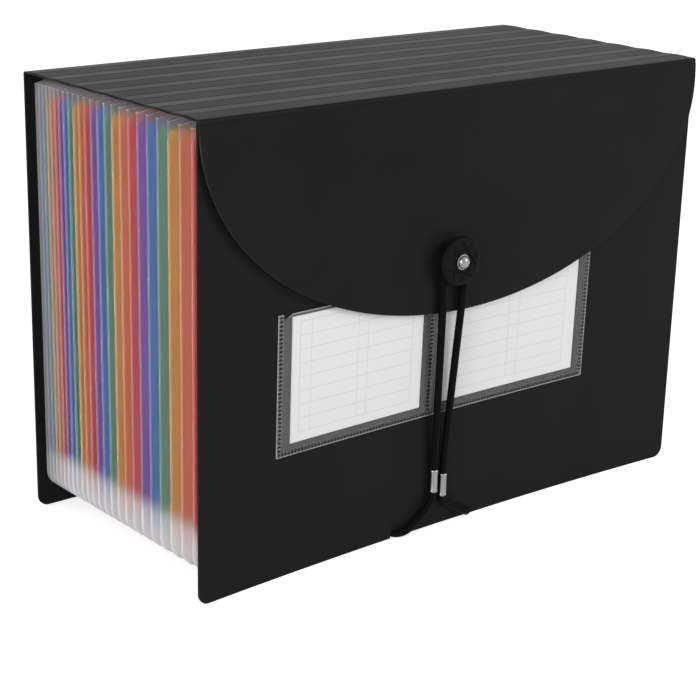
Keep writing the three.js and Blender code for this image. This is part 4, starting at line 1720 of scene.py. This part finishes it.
@dataclass
class Closure:
    """Moulded button with its rivet, and the elastic with its crimps."""

    cover: Cover
    x: float = -12.5
    z: float = 148.0
    radius: float = 12.5
    thickness: float = 3.0
    rim: float = 0.8
    button_sides: int = 200
    back_rings: tuple[float, ...] = (6.0, 8.0, 10.0)
    face_rings: int = 34
    boss_radius: float = 4.5
    gap: float = 4.95
    bore: float = 1.8
    groove_count: int = 5
    groove_offset: float = 5.6
    groove_half: float = 0.45
    groove_depth: float = 0.5
    groove_reach: float = 0.6
    groove_end: float = 0.2
    washer: float = 0.6
    shank_radius: float = 1.5
    tail_radius: float = 2.6
    tail_thickness: float = 0.6
    tail_round: float = 0.3
    flange_radius: float = 4.0
    flange_thickness: float = 0.6
    flange_round: float = 0.2
    head_radius: float = 3.4
    head_height: float = 2.6
    head_power: float = 0.9
    head_steps: int = 12
    rivet_sides: int = 64
    cord: float = 4.0
    cord_step: float = 0.45
    cord_sides: int = 40
    curve_steps: int = 40
    plaits: int = 8
    plait_mm: float = 2.4
    plait_relief: float = 0.11
    crimp_radius: float = 2.4
    crimp_length: float = 12.5
    crimp_dish: float = 0.8
    crimp_sides: int = 48
    # The rolled lip's points: how far inside the ferrule's radius, and how far from its end.
    crimp_lip: tuple[tuple[float, float], ...] = (
        (0.45, 0.5),
        (0.3, 0.0),
        (0.0, 0.35),
        (0.0, 0.9),
        (0.18, 1.3),
    )
    loop_route: tuple = (
        (-14.8, -73.0, 33.9), (-15.2, -73.6, 42), (-16.2, -75.2, 64), (-17.4, -77.0, 90),
        (-18.8, -78.9, 117), (-19.5, -79.6, 134), (-19.7, -79.7, 146), (-18.2, -79.7, 152.7),
        (-12.5, -79.7, 155.5), (-6.8, -79.7, 152.7), (-5.3, -79.7, 146), (-5.5, -79.6, 134),
        (-6.4, -78.9, 117), (-7.2, -77.0, 90), (-7.9, -75.2, 64), (-8.3, -73.6, 42),
        (-8.4, -73.0, 30.4),
    )
    base_route: tuple = (
        (-14.8, -73.0, 20.6), (-14.9, -73.0, 19.4), (-17.4, -72.7, 14), (-22, -72.3, 9),
        (-27.5, -72.2, 5.3), (-32.3, -72.3, 3.1), (-36.3, -71.4, 2.4), (-38.6, -69.4, 2.3),
        (-38.6, -67.3, 2.6), (-35.5, -66.1, 4.3), (-27, -65.9, 6.2), (-12.5, -65.9, 6.8),
        (2, -65.9, 6.2), (10.5, -66.1, 4.3), (13.6, -67.3, 2.6), (13.6, -69.4, 2.3),
        (11.6, -71.4, 2.6), (7.6, -72.4, 4.6), (1.8, -72.6, 8.4), (-4.4, -72.8, 12.2),
        (-8.3, -73.0, 15.9), (-8.4, -73.0, 17.1),
    )

    def face(self) -> Array:
        """Returns the point of the flap's outer face at the button's middle."""
        inside = float(self.cover.flap_inside(np.array(self.x), np.array(self.z)))
        return np.array([self.x, inside - self.cover.sheet, self.z])

    def button(self) -> Surface:
        """Makes the button: a rounded disc on a boss, with a five-pointed star of grooves in its face.

        Returns:
            The closed button.
        """
        front = self.gap + self.thickness
        seat = self.cover.seat
        profile = [(self.bore, seat), (self.boss_radius, seat), (self.boss_radius, self.gap)]
        profile += [(r, self.gap) for r in self.back_rings]
        side = self.radius - self.rim
        for turn in spaced(-math.pi / 2, 0, 5):
            out = self.gap + self.rim + self.rim * math.sin(turn)
            profile.append((side + self.rim * math.cos(turn), out))
        for turn in spaced(0, math.pi / 2, 7):
            out = front - 2 * self.rim + 2 * self.rim * math.sin(turn)
            profile.append((self.radius - 2.4 * self.rim * (1 - math.cos(turn)), out))
        face_edge = profile[-1][0]
        profile += [(r, front) for r in np.linspace(face_edge, self.bore, self.face_rings)[1:]]
        profile.append((self.bore, seat))
        surface = turned(profile, self.face(), np.array([0.0, -1.0, 0.0]), self.button_sides)
        local = surface.points - self.face()
        on_face = -local[:, 1] > front - self.groove_reach
        depth = np.zeros(len(local))
        reach = face_edge - self.groove_end
        for i in range(self.groove_count):
            turn = 2 * math.pi * i / self.groove_count
            across = -local[:, 0] * math.cos(turn) + local[:, 2] * math.sin(turn) - self.groove_offset
            cut = np.clip(1 - (np.abs(across) / self.groove_half) ** 2, 0, 1)
            depth = np.maximum(depth, cut * (np.hypot(local[:, 0], local[:, 2]) < reach))
        surface.points[:, 1] += np.where(on_face, depth * self.groove_depth, 0)
        return surface

    def rivet(self) -> Surface:
        """Makes the rivet: a coned bright head on a thin flange, a shank and a flattened tail.

        Returns:
            The closed rivet.
        """
        seat = self.gap + self.thickness + self.cover.seat
        head = seat + self.flange_thickness
        tail = -self.cover.sheet - self.cover.seat - self.washer - self.cover.seat
        end, wide, narrow = tail - self.tail_thickness, self.tail_radius, self.tail_radius - self.tail_round
        profile = [(0.0, end), (narrow, end), (wide, tail - self.tail_round), (wide, tail)]
        profile += [(self.shank_radius, tail), (self.shank_radius, seat)]
        wide, narrow = self.flange_radius, self.flange_radius - self.flange_round
        profile += [(narrow, seat), (wide, seat + self.flange_round), (wide, head - self.flange_round)]
        profile += [(narrow, head), (self.head_radius, head)]
        for turn in spaced(0, math.pi / 2, self.head_steps)[1:-1]:
            radius = self.head_radius * math.cos(turn) ** self.head_power
            profile.append((radius, head + self.head_height * math.sin(turn)))
        profile.append((0.0, head + self.head_height))
        return turned(profile, self.face(), np.array([0.0, -1.0, 0.0]), self.rivet_sides)

    def crimp(self, top: Sequence[float]) -> Surface:
        """Makes one ferrule with rolled lips.

        Args:
            top: The end of the loop that it holds.

        Returns:
            The closed surface.
        """
        half, radius = self.crimp_length / 2, self.crimp_radius
        profile = [(0.0, -half + self.crimp_dish)]
        profile += [(radius - inside, -half + along) for inside, along in self.crimp_lip]
        profile += [(r, -along) for r, along in reversed(profile)]
        centre = np.array([top[0], top[1], top[2] - self.cover.seat - half])
        return turned(profile, centre, np.array([0.0, 0.0, 1.0]), self.crimp_sides)

    def curve(self, route: Sequence[Sequence[float]], step: float) -> Array:
        """Runs a smooth curve through a route's points.

        Args:
            route: The points.
            step: The distance between the returned points.

        Returns:
            Evenly spaced points along a centripetal curve.
        """
        points = np.array(route, float)
        ends = (2 * points[0] - points[1], 2 * points[-1] - points[-2])
        padded = np.vstack([ends[0], points, ends[1]])
        fine = []
        for p in zip(padded, padded[1:], padded[2:], padded[3:]):
            gaps = [max(float(np.linalg.norm(b - a)) ** 0.5, 1e-4) for a, b in zip(p, p[1:])]
            t = [0.0, gaps[0], gaps[0] + gaps[1], sum(gaps)]
            for at in np.linspace(t[1], t[2], self.curve_steps, endpoint=False):
                a = [(t[i + 1] - at) / gaps[i] * p[i] + (at - t[i]) / gaps[i] * p[i + 1] for i in range(3)]
                b = [
                    (t[i + 2] - at) / (t[i + 2] - t[i]) * a[i] + (at - t[i]) / (t[i + 2] - t[i]) * a[i + 1]
                    for i in range(2)
                ]
                fine.append((t[2] - at) / gaps[1] * b[0] + (at - t[1]) / gaps[1] * b[1])
        fine = np.array([*fine, points[-1]])
        length = np.concatenate([[0.0], np.cumsum(np.linalg.norm(np.diff(fine, axis=0), axis=1))])
        places = np.linspace(0, length[-1], max(8, int(length[-1] / step)))
        return np.stack([np.interp(places, length, fine[:, k]) for k in range(3)], -1)

    def braid(self, route: Sequence[Sequence[float]]) -> Surface:
        """Makes a round braided cord along a route.

        Args:
            route: The points that it passes.

        Returns:
            The closed surface, with the plaits in its relief.
        """
        line = self.curve(route, self.cord_step)
        along = np.gradient(line, axis=0)
        along /= np.linalg.norm(along, axis=1)[:, None]
        side = np.cross(along[0], (0.0, 1.0, 0.0))
        turn = full_turn(self.cord_sides)
        rings = []
        for i, (point, ahead) in enumerate(zip(line, along)):
            side = side - ahead * float(side @ ahead)
            side /= np.linalg.norm(side)
            other = np.cross(ahead, side)
            travel = 2 * math.pi * i * self.cord_step / self.plait_mm / 2
            half_turns = turn * self.plaits / 2
            weave = np.abs(np.sin(half_turns + travel)) * np.abs(np.sin(half_turns - travel))
            radius = self.cord / 2 - self.plait_relief * (1 - weave)
            rings.append(point + radius[:, None] * round_axis(turn, side, other))
        return capped_tube(rings)

    def build(self) -> None:
        """Makes and dresses the button, its fastening and the elastic."""
        button = self.button().as_object("star_button", 40.0)
        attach(dress(button, BUTTON_PLASTIC.build(), "black_moulding", "closure_button"), "flap")
        report(button)
        steel = PLATED_STEEL.build()
        rivet = self.rivet().as_object("rivet_bright", 35.0)
        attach(dress(rivet, steel, "plated_steel", "button_rivet"), "flap")
        report(rivet)
        dress(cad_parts["rivet_washer"], steel, "plated_steel")
        ends = (("crimp_left", self.loop_route[0]), ("crimp_right", self.loop_route[-1]))
        for node, top in ends:
            piece = self.crimp(top).as_object(f"ferrule_{node.removeprefix('crimp_')}", 50.0)
            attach(dress(piece, steel, "plated_steel", node), "body")
            report(piece)
        braid = ELASTIC_BRAID.build()
        loop = self.braid(self.loop_route).as_object("braided_loop", 80.0)
        dress(loop, braid, "elastic_braid", "elastic_loop")
        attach(loop, "body")
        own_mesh(loop)
        report(loop)
        base = self.braid(self.base_route).as_object("braided_base", 80.0)
        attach(dress(base, braid, "elastic_braid", "elastic_base"), "body")
        report(base)


def report(piece: bpy.types.Object) -> None:
    """Reports a finished piece with its number of faces."""
    log.info("%s: %s faces", piece.name, len(piece.data.polygons))


def main() -> None:
    """Builds the studio and each sub-assembly in order."""
    logging.basicConfig(level=logging.INFO, format="%(name)s: %(message)s")
    studio = Studio()
    studio.camera()
    cover = Cover()
    closure = Closure(cover)
    closure.build()
    studio.build()
    cover.build()
    PleatedBody(cover).build()
    LabelPocket(cover).build()


if __name__ == "__main__":
    main()
